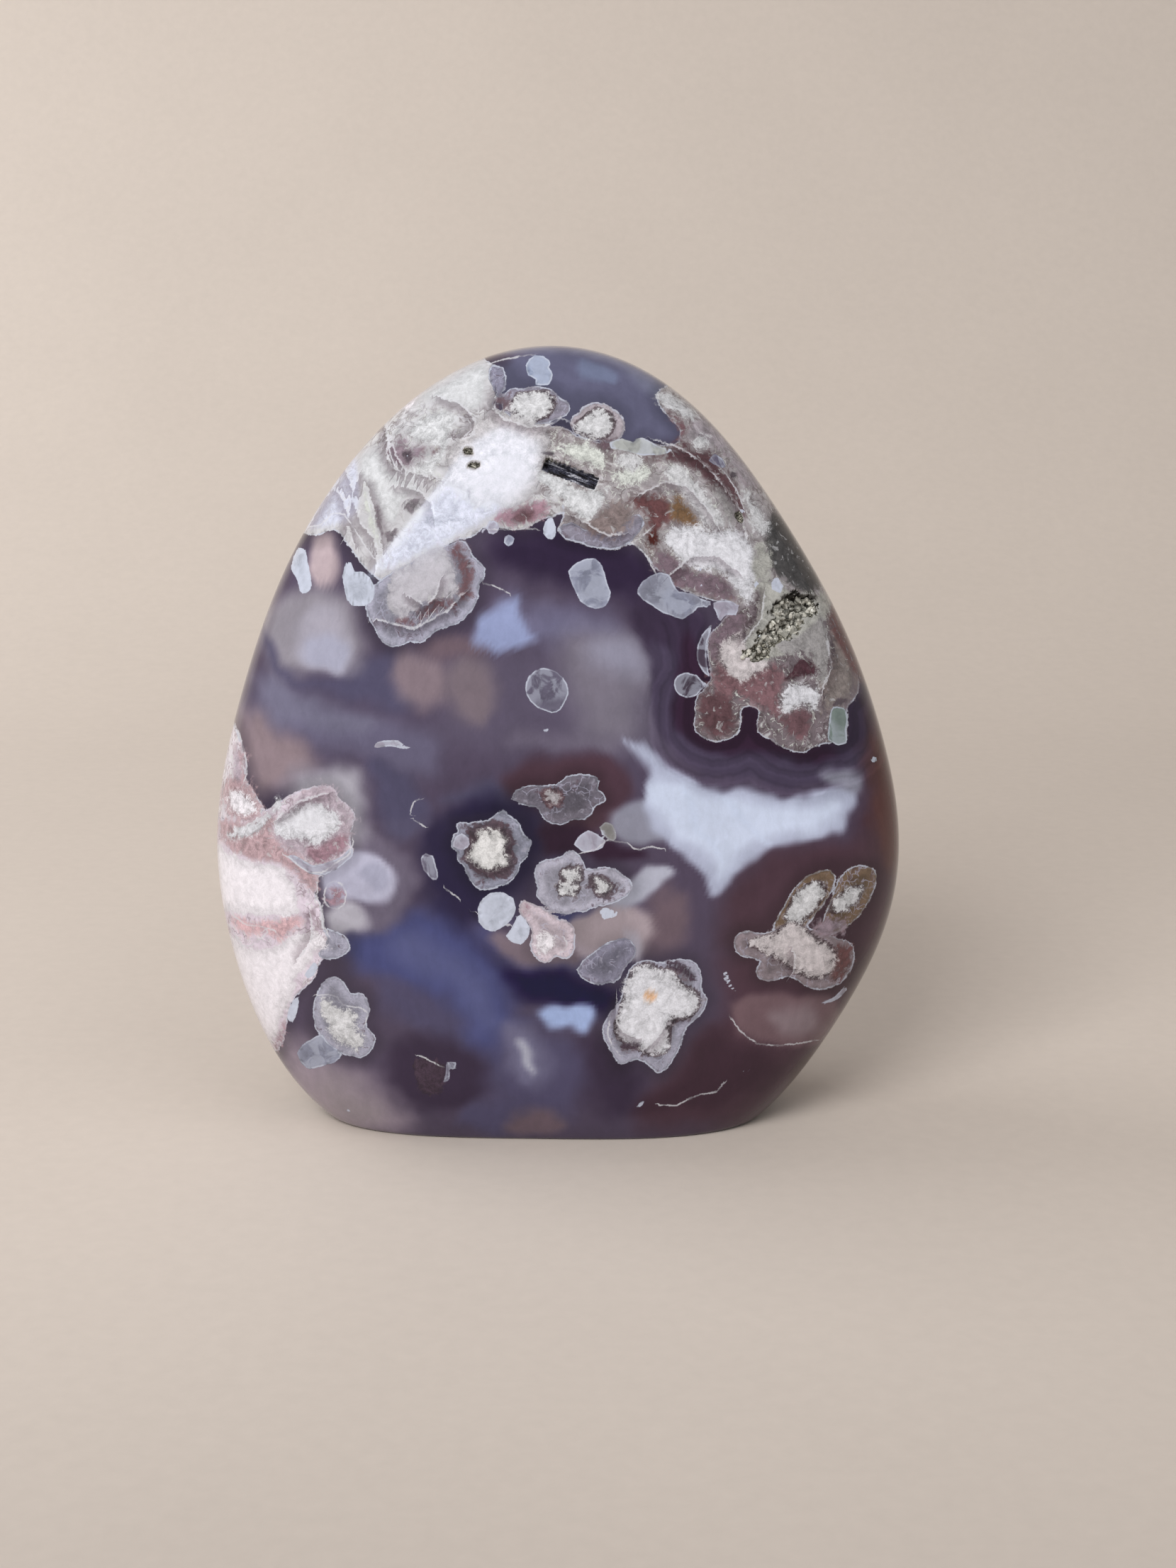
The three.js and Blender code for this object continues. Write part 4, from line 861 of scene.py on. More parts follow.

# Clouds deep in the stone, and one painted reflection on the rounded top, painted over one another: tone,
# half width of the soft edge, outline
frontClouds = [
    ("duskMauve", 4, [-14, 68, -4, 70, 6, 70, 14, 66, 13, 56, 6, 54, -8, 54, -18, 56, -17, 62]),
    ("topIndigo", 1.2, [-10, 107, -6, 111, 0, 112.5, 6, 111.5, 11, 109, 15, 105, 18, 101, 17, 99, 14, 97,
     6, 97, -4, 99, -9, 103]),
    # painted reflection of the bright backdrop on the rounded top shoulder, not a cloud in the stone
    ("topTaupe", 1, [-9, 112, -3, 111.4, 4, 110.4, 9, 108.6, 14, 104.6, 17.4, 101, 21, 103, 16, 109, 8, 114,
     0, 115, -8, 114]),
    ("topBlue", 0.5, [2, 109.6, 4, 109.4, 6, 108.6, 8.9, 107.3, 8.4, 106.2, 6, 106.4, 4, 106.2,
     2.6, 107.2]),
    ("mauveHaze", 1.6, [-8, 56.4, -2, 57.6, 4, 57, 9, 56, 8, 53.6, 2, 54.8, -4, 54]),
    ("ink", 2.2, [-9, 85, -6, 86, 0, 86, 10, 84, 15, 79, 13, 75.5, 9, 77, 3, 77.5, -4, 79.5, -9, 81]),
    ("duskBlue", 2.4, [-7, 77, -4, 74, 1, 75, 8, 74.5, 9, 71, 0, 70, -6, 71, -9, 74]),
    ("mauveMist", 3.2, [1, 72.5, 9, 72.5, 12.5, 69, 13.5, 65, 11.5, 61, 12.5, 57, 9, 55.5, 3, 56.5, 2, 62,
     1, 67]),
    ("paleLilac", 2.4, [4.5, 70.6, 8, 72, 11.4, 70.6, 12.6, 67, 10, 65, 6, 66]),
    ("indigo", 2.4, [-46, 59, -42, 62.5, -36, 62, -30, 60.5, -24, 60, -16, 57.5, -17, 51, -24, 51.5,
     -30, 55, -38, 56]),
    ("lilacGrey", 2, [-44, 65, -40, 67, -36, 63, -30, 60.5, -25, 60, -27, 57, -34, 58.5, -41, 59.5]),
    ("dusk", 1.5, [-28, 69, -22, 68, -19, 62.5, -22, 60, -27, 62.5, -31, 62, -30, 65]),
    ("rosyTaupe", 2.4, [-46, 59, -43, 61, -39, 57.5, -34, 54.5, -36, 51.5, -39.5, 49, -42.5, 48, -45, 54]),
    ("dustyMauve", 2.4, [-39, 77, -33, 78, -28, 74.5, -27.5, 69.5, -30, 66, -38, 65.5, -42, 69, -42, 74]),
    ("deepWhite", 1.1, [-36, 74, -32, 75.4, -29.4, 73, -28.9, 69, -29.6, 65.2, -31, 64.6, -35, 66.2,
     -36.6, 70]),
    ("deepLilac", 0.9, [-35.5, 71, -31, 71.5, -29.5, 69, -29.8, 65.4, -31.2, 64.9, -34.6, 66.4]),
    ("dusk", 1.3, [-42.6, 71.4, -40.4, 66.6, -36.6, 64, -31.4, 62.6, -28.4, 63.2, -26.6, 66, -27.4, 66.4,
     -29.4, 64.2, -32, 64, -36.4, 65.2, -39.8, 67.8, -41.8, 72]),
    ("peachWarm", 1, [-35.6, 84.2, -33.5, 85.2, -31.2, 85.2, -30.4, 83, -30.2, 80.8, -31, 78.4, -33, 77.2,
     -34.8, 78.4, -35.6, 81.5]),
    ("peach", 1.6, [-23.4, 67, -20, 69, -16, 68.4, -14, 65, -15.4, 62, -19, 61, -22.4, 63]),
    ("peachGrey", 1.5, [-14.6, 67.6, -10.6, 68.4, -9, 65.6, -9.2, 60.4, -12.6, 58.6, -15.4, 61.4]),
    ("cocoaMauve", 1.2, [-18, 71.4, -12, 71.2, -9.6, 68.8, -14, 67.6, -18.6, 68.6]),
    ("periwinkle", 0.9, [-12.4, 70.2, -9.5, 69.3, -6.5, 68.8, -4.5, 69.9, -2, 70.4, -4.6, 71.6, -5.3, 74.4,
     -6.3, 76.4, -7.4, 75, -10.5, 74.2, -12.6, 73]),
    ("dusk", 1.6, [-18, 48, -9, 50, -2, 53, 6, 54.6, 10, 52, 8, 47, -2, 50, -8, 45, -12, 47]),
    ("cocoaPlum", 1.2, [-9, 50, -6, 52.4, -1, 53.8, 4, 54.8, 9, 54, 10.4, 51.6, 9.6, 48.5, 7, 45.5, 5, 43,
     0, 42, -2, 44, -7, 49]),
    ("mistGrey", 0.9, [6.5, 46, 9, 48, 12.5, 48, 14.5, 45, 15.5, 42, 12, 41.2, 8.4, 42.4]),
    ("cocoaPlum", 2.6, [24.4, 36, 27, 40, 33, 42.4, 38, 42.8, 42, 43, 43, 47, 43.4, 52, 40.5, 55, 43, 62,
     47, 62, 52, 45, 50, 28, 44, 18, 36, 6, 28, 1, 10, 0, 12, 8, 20, 13, 24, 19, 23, 28]),
    ("plumNight", 1.2, [12.6, 70, 13.4, 65, 14.2, 60, 16, 56, 19, 53.6, 24, 52.6, 28, 52, 32.6, 51,
     37.4, 52.4, 41.8, 53, 44, 57, 43.4, 62, 38, 62, 24, 60, 20, 66, 22, 74, 16, 76, 12, 77, 10, 74]),
    ("indigoRing", 0.8, [12.4, 66, 13.4, 61, 14.6, 57, 17, 53.4, 20.4, 51.4, 24, 51.2, 28, 51, 32, 50,
     38, 50.8, 42, 52, 43.4, 54.6, 41, 54.4, 36, 52.8, 31, 53, 27, 54.2, 23, 53.8, 19.4, 55.2, 17, 58,
     16.2, 62, 16.6, 66, 15, 70, 12.8, 71]),
    ("blackPlum", 1, [16.8, 66, 16.8, 61, 17.6, 57.6, 20, 55, 23.6, 54.4, 27, 55, 31, 53.8, 36, 53.6,
     40.6, 54.8, 36, 57, 26, 62, 20, 66, 19, 72, 17, 72]),
    ("milkBlue", 0.7, [9, 56.6, 10.6, 56.2, 13.2, 55.6, 14.6, 53.2, 16.4, 51.5, 18.4, 50.4, 21, 49.8,
     23, 49.7, 26.3, 50.1, 28.8, 49, 31.7, 48.6, 35.4, 49, 38, 49.6, 40, 50.4, 41.8, 49.8, 41.8, 47.6,
     41.2, 45.5, 39.6, 43.8, 36.3, 43.2, 33.8, 42.2, 29.6, 41.3, 26.3, 39.3, 24.2, 36.8, 22.6, 33.9,
     21.3, 35.9, 19.2, 38.4, 16.4, 40.8, 12.8, 44.4, 11.5, 47, 12.8, 50, 13.2, 52.6, 10.8, 54.8]),
    ("milkWhite", 1.2, [13.4, 51.6, 17, 49.4, 21, 48.6, 25, 48.8, 28, 47.8, 33, 47.4, 38, 47.6, 40.4, 47.4,
     39.6, 45.2, 34, 43.6, 29, 42.6, 25.4, 40.4, 23, 36.6, 21, 39.2, 17, 43, 13.4, 46, 12.2, 48]),
    ("milkFold", 0.5, [22.8, 49, 24, 49, 30, 41.8, 28.8, 41.6]),
    ("milkFold", 0.5, [16.8, 49.2, 17.8, 49.4, 23, 39, 22, 38.8]),
    ("mistGrey", 1, [36.8, 52.2, 40, 52.8, 42.6, 52, 42.8, 49.6, 41.4, 48.8, 39, 50.2]),
    ("cocoa", 1.4, [44.4, 58, 44.4, 50, 44.8, 43, 47.4, 37, 50, 38, 50, 50, 48, 60]),
    ("umber", 1.2, [49, 38, 46.6, 31, 43.5, 24, 40, 17.5, 35.6, 11, 32, 7, 38, 7, 46, 20, 51, 34]),
    ("cocoaNight", 1.6, [9, 4, 16, 8.6, 20, 13, 22.4, 17, 26, 13, 30, 11.6, 32, 8.6, 24, 4.6, 14, 2.6]),
    ("rosyDusk", 0.8, [23.6, 18.4, 26, 19.9, 30, 20.4, 34, 20.2, 38, 20, 41, 18.4, 39.4, 15, 36, 13.7,
     30.6, 13.4, 28, 13.8, 26.4, 15, 24.8, 16.6]),
    ("rosyTaupe", 1.2, [29.5, 18, 32, 18.9, 35.4, 18.6, 37.6, 17.4, 36.4, 15.2, 31, 14.9]),
    ("nightIndigo", 1.8, [-19, 44, -16.5, 46, -12, 47.5, -9.4, 48, -4, 47.6, -2, 43, -4, 38, -6, 34.5,
     -12, 31, -12, 28, -8, 25, -4, 22.5, 2, 22, 8, 20, 7, 17, 4, 19.4, -4, 20, -9, 22, -14, 26, -18, 31,
     -19.5, 37]),
    ("night", 1.3, [-8, 24.8, -3, 24, 2, 23.6, 4, 23, 8, 21, 6.6, 18.6, -3, 19.9, -9, 22.4]),
    ("blackPlum", 1, [-3.5, 44, 0, 43.6, 4, 44.2, 6, 43, 9, 41, 12, 40.6, 12, 38.6, 9, 38.8, 5, 39.2, 3, 41,
     0, 40.4, -3, 39.6]),
    ("bluePlum", 2.4, [-30, 29, -20, 33, -15, 31, -10, 26, -7, 21.6, -5.4, 16, -7.6, 9, -13, 13, -18, 20,
     -24, 22, -29, 25]),
    ("deepBlue", 2, [-24, 29.6, -19, 29, -12, 24, -9, 20, -8, 14, -12, 15.6, -15, 21, -22, 25]),
    ("duskPlum", 2, [-26, 23, -21, 22, -14, 18, -12, 13, -18, 14.6, -26, 18]),
    ("plumNight", 1.8, [-24, 12.6, -19, 15, -13, 14, -9.4, 10.6, -9, 6.4, -13, 4.4, -19, 3.8, -23.6, 6]),
    ("taupe", 3.4, [-40, 14, -35, 13, -31, 9.6, -27, 9, -24, 4.4, -20, 2, -28, -1, -36, 3]),
    ("beigeTaupe", 2.4, [-33.6, 8, -30, 8.6, -27, 7, -24.6, 3.6, -28, 2, -32.6, 4]),
    ("duskPlum", 2.6, [-10, 14, -3, 15, 4, 14, 5, 9, 2, 3, -6, 3, -11, 8]),
    ("plumNight", 2.4, [3, 14.6, 8, 15.4, 11, 12, 12, 7, 10, 2.6, 5, 4.4, 3, 9]),
    ("paleBlue", 0.8, [-3.3, 17.4, -2.2, 18.8, -0.4, 19.6, 1.4, 19, 3.2, 19.7, 5, 18.9, 5.6, 17.2, 5, 14.9,
     3.6, 14.9, 2.2, 15.5, 0.4, 15, -1.6, 16]),
    ("paleMauve", 0.7, [-6.6, 13.8, -4.5, 13.4, -2.4, 10.6, -2.2, 8.8, -4.4, 10.8]),
    ("duskBlue", 1.8, [-8, 17, -4.6, 16, -0.4, 11, -1, 7.6, -5, 7.6, -8, 12]),
    ("paleMauve", 0.7, [-6.6, 13.8, -4.5, 13.4, -2.4, 10.6, -2.2, 8.8, -4.4, 10.8]),
    ("duskPlum", 1.6, [-14, 5, -8, 6, 0, 5, 1, 1, -14, 0]),
    ("cocoaMauve", 1.2, [-7, 4, -1, 4.2, 1.4, 2, -2, 0, -8, 1]),
    ("cocoaMauve", 1.6, [14, 35.6, 18, 34, 19.4, 30, 17, 27, 12.6, 26.6, 12, 31]),
    ("haze", 1.1, [-10, 28.4, -7, 25.6, -3, 24.6, 1, 24.4, 3.5, 24.6, 4, 27.6, -1, 29, -6, 30]),
    ("roseTan", 0.8, [2.2, 26.6, 4, 25.6, 6, 26.4, 8.6, 28.6, 9, 30.8, 6.4, 31.4, 3.4, 32, 1.6, 30.4]),
    ("peachMist", 0.9, [1, 31.4, 6, 33, 9, 33.4, 13, 32.6, 14.4, 29, 13, 26.4, 10.6, 26, 5, 27.4, 2, 28]),
    ("paleMauve", 0.7, [7.4, 34, 10.4, 36.4, 13, 38, 15.8, 37.9, 15.5, 35.8, 12.5, 33.8, 9, 32.2]),
    ("mistLilac", 0.8, [8.8, 28.6, 10.6, 29.4, 12.6, 27.8, 13, 25.6, 11.6, 25.4]),
    ("mauveHaze", 1.3, [-29, 44.4, -25.4, 43.6, -22, 41, -20.2, 38, -20, 35.5, -21.5, 32.4, -24, 30,
     -28, 29, -31.5, 28.8, -34, 31, -33.6, 36, -30, 41]),
    ("mistHalo", 2.2, [-38.4, 50.4, -36, 52.2, -32.6, 53, -29.6, 51.8, -28, 49.6, -26.8, 47, -27, 44,
     -28.2, 41.6, -33, 41, -38, 45]),
    ("iceLilac", 0.7, [-33.6, 36.5, -32, 38.8, -30.4, 39.8, -28.4, 40.8, -26.2, 40.4, -24, 39.3,
     -22.8, 37.6, -22.4, 36, -23, 34.6, -24.5, 33.6, -27, 33.2, -28.8, 33.2, -30.3, 32.6, -32.4, 33]),
    ("mauveFold", 0.5, [-28.6, 37.2, -27.2, 39.2, -25, 39, -23.4, 37.2, -23.8, 35.4, -25.6, 34.6,
     -26.4, 36]),
    ("paleRose", 0.8, [-32.8, 32, -30, 33, -27, 32.4, -26.4, 30.4, -28.4, 28.8, -31, 29.2, -32.8, 30.4]),
    ("dusk", 1.4, [-28.4, 52, -25.6, 50, -24.6, 46, -24.4, 43.4, -20, 42, -17.6, 46, -20, 50, -25, 54]),
]

# The back's own flowers: x, z, radius, number of petals, tone of the petals, tone of the heart
backFlowers = [
    (-22, 84, 11, 9, "iceMauve", "milk"), (-31, 68, 8, 7, "blushGrey", "milkRose"),
    (-8, 95, 9, 8, "ashCream", "cream"), (14, 88, 7, 7, "greyMauve", "ashWhite"),
    (33, 60, 10, 8, "mauveGrey", "milkRose"), (27, 42, 6, 6, "iceGrey", "ashWhite"),
    (-12, 58, 6, 7, "smoke", "butter"), (-30, 30, 9, 8, "iceMauve", "milkRose"),
    (-18, 22, 5, 6, "mist", "ashWhite"), (8, 34, 7, 8, "iceMauve", "milk"),
    (30, 20, 6, 7, "olive", "ashWhite"), (41, 45, 5, 6, "blushGrey", "milkRose"),
    (-43, 50, 9, 8, "blush", "milkRose"), (4, 68, 5, 6, "smoke", "peachWhite"),
    (12, 12, 4, 6, "iceGrey", "milk"),
]
# The back's clouds: tone, half width of the soft edge, x, z and half sizes
backClouds = [
    ("bluePlum", 6, (0, 30, 22, 14)), ("duskMauve", 6, (10, 60, 18, 12)), ("milkBlue", 3, (-14, 42, 10, 5)),
    ("milkWhite", 2.5, (-15, 42, 7, 3)), ("nightIndigo", 3, (10, 48, 14, 4)),
    ("deepBlue", 5, (-4, 18, 12, 7)), ("mauveMist", 4, (2, 78, 14, 7)), ("cocoaPlum", 5, (36, 32, 10, 18)),
    ("umber", 3, (46, 40, 4, 16)), ("peachGrey", 3, (20, 72, 7, 4)), ("paleBlue", 2, (20, 27, 5, 2.5)),
    ("plumNight", 3, (-34, 46, 8, 9)),
]


def screenValues(tone):
    return np.array(tones[tone], float)


def pointsOf(numbers):
    return np.array(numbers, float).reshape(-1, 2)


def rounded(outline, times):  # the outline with its corners cut off
    points = pointsOf(outline)
    for _ in range(times):
        following = np.roll(points, -1, 0)
        cuts = [0.75 * points + 0.25 * following, 0.25 * points + 0.75 * following]
        points = np.stack(cuts, 1).reshape(-1, 2)
    return points


def segmentDistance(u, v, start, end):  # how far each place is from a straight segment
    (ax, az), (bx, bz) = start, end
    ex, ez = bx - ax, bz - az
    along = np.clip(((u - ax) * ex + (v - az) * ez) / (ex * ex + ez * ez + 1e-12), 0, 1)
    return np.hypot(u - ax - along * ex, v - az - along * ez)


def edgeDistance(u, v, points):  # how far each place is from an outline, and whether it is inside
    nearest = np.full(len(u), 1e9)
    inside = np.zeros(len(u), bool)
    for start, end in zip(points, np.roll(points, -1, 0)):
        (ax, az), (bx, bz) = start, end
        nearest = np.minimum(nearest, segmentDistance(u, v, start, end))
        inside ^= ((az > v) != (bz > v)) & (u < ax + (v - az) * (bx - ax) / (bz - az if bz != az else 1))
    return nearest, inside


def routeDistance(u, v, points):  # how far each place is from a line, and on which side of it
    nearest, offset = np.full(len(u), 1e9), np.zeros(len(u))
    for start, end in zip(points, points[1:]):
        far = segmentDistance(u, v, start, end)
        side = (u - start[0]) * (end[1] - start[1]) - (v - start[1]) * (end[0] - start[0])
        offset = np.where(far < nearest, np.sign(side) * far, offset)
        nearest = np.minimum(nearest, far)
    return nearest, offset


def insideDistance(u, v, points, reach):  # how far inside an outline each place is, cut off at -reach
    depth = np.full(len(u), -float(reach))
    low, high = points.min(0) - reach, points.max(0) + reach
    near = np.flatnonzero((u > low[0]) & (u < high[0]) & (v > low[1]) & (v < high[1]))
    nearest, inside = edgeDistance(u[near], v[near], points)
    depth[near] = np.maximum(np.where(inside, nearest, -nearest), -reach)
    return depth


def flowerOutline(x, z, radius, petals, depth, seed):  # a ring of uneven round petals
    angle = np.linspace(0, 2 * math.pi, 12 * petals, endpoint=False)
    uneven = 0.12 * np.sin(2 * angle + seed) + 0.1 * np.sin(3 * angle + 2.3 * seed)
    scallop = np.abs(np.sin((angle * petals + seed + 0.8 * np.sin(angle + seed)) / 2))
    reach = radius * (1 + uneven - depth * (1 - scallop))
    return np.stack([x + reach * np.cos(angle), z + reach * np.sin(angle) * 0.9], 1)


def blendTone(colour, tone, weight):
    return colour + (screenValues(tone) - colour) * weight[:, None]


class Field:  # how deep inside a kind of pattern each point lies, and the tone it takes there
    toneEdge = (-0.4, 0.3)  # depths between which one pattern's tone takes over from another's
    haloRound = 1.4  # how far the fine bands round off the corners between patterns

    def __init__(self, count, reach):
        self.depth = np.full(count, -float(reach))
        self.smooth = np.zeros(count)
        self.tone = np.zeros((count, 3))
        self.reach = reach

    def add(self, depth, tone):
        low, high = self.toneEdge
        self.tone[(depth > self.depth) & (depth < 0)] = screenValues(tone)
        blended = blendTone(self.tone, tone, smoothStep(low, high, depth))
        self.tone = np.where(depth[:, None] >= low, blended, self.tone)
        self.depth = np.maximum(self.depth, depth)
        self.smooth += np.exp(np.maximum(depth, -self.reach) / self.haloRound)

    def halo(self):
        return np.clip(self.haloRound * np.log(self.smooth + 1e-9), -self.reach, self.reach)


def hiddenDepths(points, mesh):  # how much stone lies between a point and the camera, 0 where it is seen
    tree = surfaceTree(mesh)
    normals = np.empty(len(points) * 3)
    mesh.vertices.foreach_get("normal", normals)
    facing = ((lens - points) * normals.reshape(-1, 3)).sum(1)
    depths = np.zeros(len(points))
    for index in np.flatnonzero(facing <= 0):
        start = Vector(lens)
        ray = Vector(points[index]) - start
        reached = tree.ray_cast(start, ray.normalized(), ray.length)[3]
        depths[index] = max(ray.length - reached, 0) if reached is not None else 0
    return depths


def wander(scale):  # three smooth values at each corner, the same in every run, unlike noise.noise_vector
    apart = [Vector(offset) for offset in ((3, 1, 4), (31, 7, 13), (5, 53, 19))]
    return np.array([[1.3 * noise.noise(Vector(p) * scale + offset) for offset in apart] for p in corners])


markings = {
    "reach": 12,  # how far outside its outline a pattern is still measured
    "lineReach": 3,
    "backStart": 10,  # hidden depth from which the back's patterns are whole
    "backFade": 0.8,
    "frontFade": 0.4,  # how fast the front's patterns end where the stone turns away
    "bands": (0.02, 0.11),  # strength of the fine bands, everywhere and added near the right cluster
    "veil": (0.003, 0.006),  # what the polish reflects on top of the tones, and what it adds near the foot
    "veilHeight": 60,
    "darkest": 0.002,
}
slotMark = {"x": 1.9, "z": 91.5, "halfWide": 4.4, "halfHigh": 4, "streakHeight": 94}  # in the picture

count = len(corners)
u, v = pictureOf(corners)
hidden = hiddenDepths(corners, agateMesh)
facesBack = np.maximum(markings["backStart"] - hidden, 0) * markings["backFade"]
x, z = corners[:, 0], corners[:, 2]
ripple, curl, slow = wander(0.16), wander(0.45), wander(0.06)
# The front's patterns end unevenly where they run round the stone's sides.
uneven = np.clip(1 + 2.5 * slow[:, 0] + 3 * ripple[:, 0] + 1.5 * curl[:, 1], 0.3, 4)
wrapped = markings["frontFade"] * hidden * uneven
cloudU, cloudV = u + 1.1 * ripple[:, 0] + 0.5 * curl[:, 0], v + 1.1 * ripple[:, 2] + 0.5 * curl[:, 2]
print("patterns: places of", count, "points, hidden by up to", round(hidden.max(), 1))


def frontDepth(outline, softened=1, reach=markings["reach"]):  # how deep inside an outline of the picture
    return insideDistance(u, v, rounded(outline, softened), reach) - wrapped


def nearestRoute(kind):  # how far each point is from the nearest of these lines, and on which side of it
    nearest = np.full(count, float(markings["lineReach"]))
    side = nearest
    for route in frontPatterns[kind]:
        distance, offset = routeDistance(u, v, pointsOf(route))
        side = np.where(distance + wrapped < nearest, offset, side)
        nearest = np.minimum(nearest, distance + wrapped)
    return nearest, side


ground = np.tile(screenValues("ground"), (count, 1))
for tone, softness, (cx, cz, wide, high) in backClouds:
    across, up = (x + 5 * ripple[:, 0] - cx) / wide, (z + 5 * ripple[:, 1] - cz) / high
    far = (np.hypot(across, up) - 1) * min(wide, high)
    ground = blendTone(ground, tone, smoothStep(-softness, softness, -far - facesBack))
for tone, softness, outline in frontClouds:
    depth = insideDistance(cloudU, cloudV, rounded(outline, 2), softness + 1) - wrapped
    ground = blendTone(ground, tone, smoothStep(-softness, softness, depth))

fields = {}
for kind in ("masses", "petals", "warm", "sugar", "plates", "pockets"):
    field = fields[kind] = Field(count, markings["reach"])
    for name, tone, outline in frontPatterns[kind]:
        field.add(frontDepth(outline, 0 if kind == "plates" else 1), tone)
for index, (cx, cz, radius, petals, tone, heart) in enumerate(backFlowers):
    for kind, size, depth, shade in (("petals", 1, 0.2, tone), ("warm", 0.78, 0.12, "roseTan"),
                                     ("sugar", 0.62, 0.3, heart)):
        outline = flowerOutline(cx, cz, radius * size, petals, depth, index + size)
        fields[kind].add(insideDistance(x, z, outline, markings["reach"]) - facesBack, shade)
# Small white specks, some of them painted glints
for index, (cx, cz, radius) in enumerate(frontPatterns["specks"]):
    fields["plates"].add(frontDepth(flowerOutline(cx, cz, radius, 5, 0.4, index), 0), "iceWhite")
gap, calm = np.zeros(count), np.full(count, -float(markings["lineReach"]))
for name, tone, outline in frontPatterns["sugar"]:
    if name in frontPatterns["gaps"]:
        gap = np.maximum(gap, 1 + frontDepth(outline) / frontPatterns["gaps"][name])
for outline in frontPatterns["calm"]:
    calm = np.maximum(calm, frontDepth(outline, reach=markings["lineReach"]))


def store(name, values, veil=0):  # a value or a screen colour for each point, for the material to read
    kind, key = ("FLOAT_COLOR", "color") if values.ndim == 2 else ("FLOAT", "value")
    if values.ndim == 2:
        values = linear(np.clip(values, 0, 255) / 255)
        values = np.column_stack([np.maximum(values - veil, markings["darkest"]), np.ones(count)])
    agateMesh.attributes.new(name, kind, "POINT").data.foreach_set(key, values.astype(np.float32).ravel())


veilBase, veilFoot = markings["veil"]
store("ground", ground, (veilBase + veilFoot * (1 - smoothStep(0, markings["veilHeight"], z)))[:, None])
cluster = next(outline for name, _, outline in frontPatterns["masses"] if name == "rightCluster")
nearCluster = smoothStep(-8, -6, frontDepth(cluster)) * (z < 74)
bandsBase, bandsCluster = markings["bands"]
roofed = smoothStep(74.4, 76, v + ripple[:, 0]) * (v < 80)  # the shaded upper wall of the rough pocket
slotU, slotV = u - slotMark["x"], v - slotMark["streakHeight"]
slotTurn = math.radians(cavities["slot"]["turn"])
inSlot = (abs(slotU) < slotMark["halfWide"]) & (abs(v - slotMark["z"]) < slotMark["halfHigh"])
marks = {
    "halo": np.maximum(fields["petals"].halo(), fields["masses"].halo()),
    "bands": (bandsBase + bandsCluster * nearCluster) * smoothStep(-10, -7, fields["masses"].halo()),
    "openTone": blendTone(np.tile(screenValues("rockGold"), (count, 1)), "rockDark", 0.85 * roofed),
    **dict(zip(("lines", "lineSide"), nearestRoute("lines"))),
    **dict(zip(("creases", "creaseSide"), nearestRoute("creases"))),
    "gap": gap,
    "calm": calm,
    "slotAlong": slotU * math.cos(slotTurn) + slotV * math.sin(slotTurn),
    "slotAcross": slotV * math.cos(slotTurn) - slotU * math.sin(slotTurn),
    "slot": 1.0 * inSlot,
}
for kind, field in fields.items():
    marks[kind], marks[kind + "Tone"] = field.depth, field.tone
for name, values in marks.items():
    store(name, values)
agateMesh.vertices.foreach_set("co", ((corners - shift) * mm).ravel())
agateMesh.update()
print("patterns: stored")

polish = {
    "roughness": 0.07,
    "heartRoughness": 0.03,  # added in the white hearts
    "openRoughness": 0.45,  # added in the open cavities
    "relief": 0.7,
    "reliefDepth": 0.3 * mm,
    "specular": 0.3,
    "ior": 1.54,
}


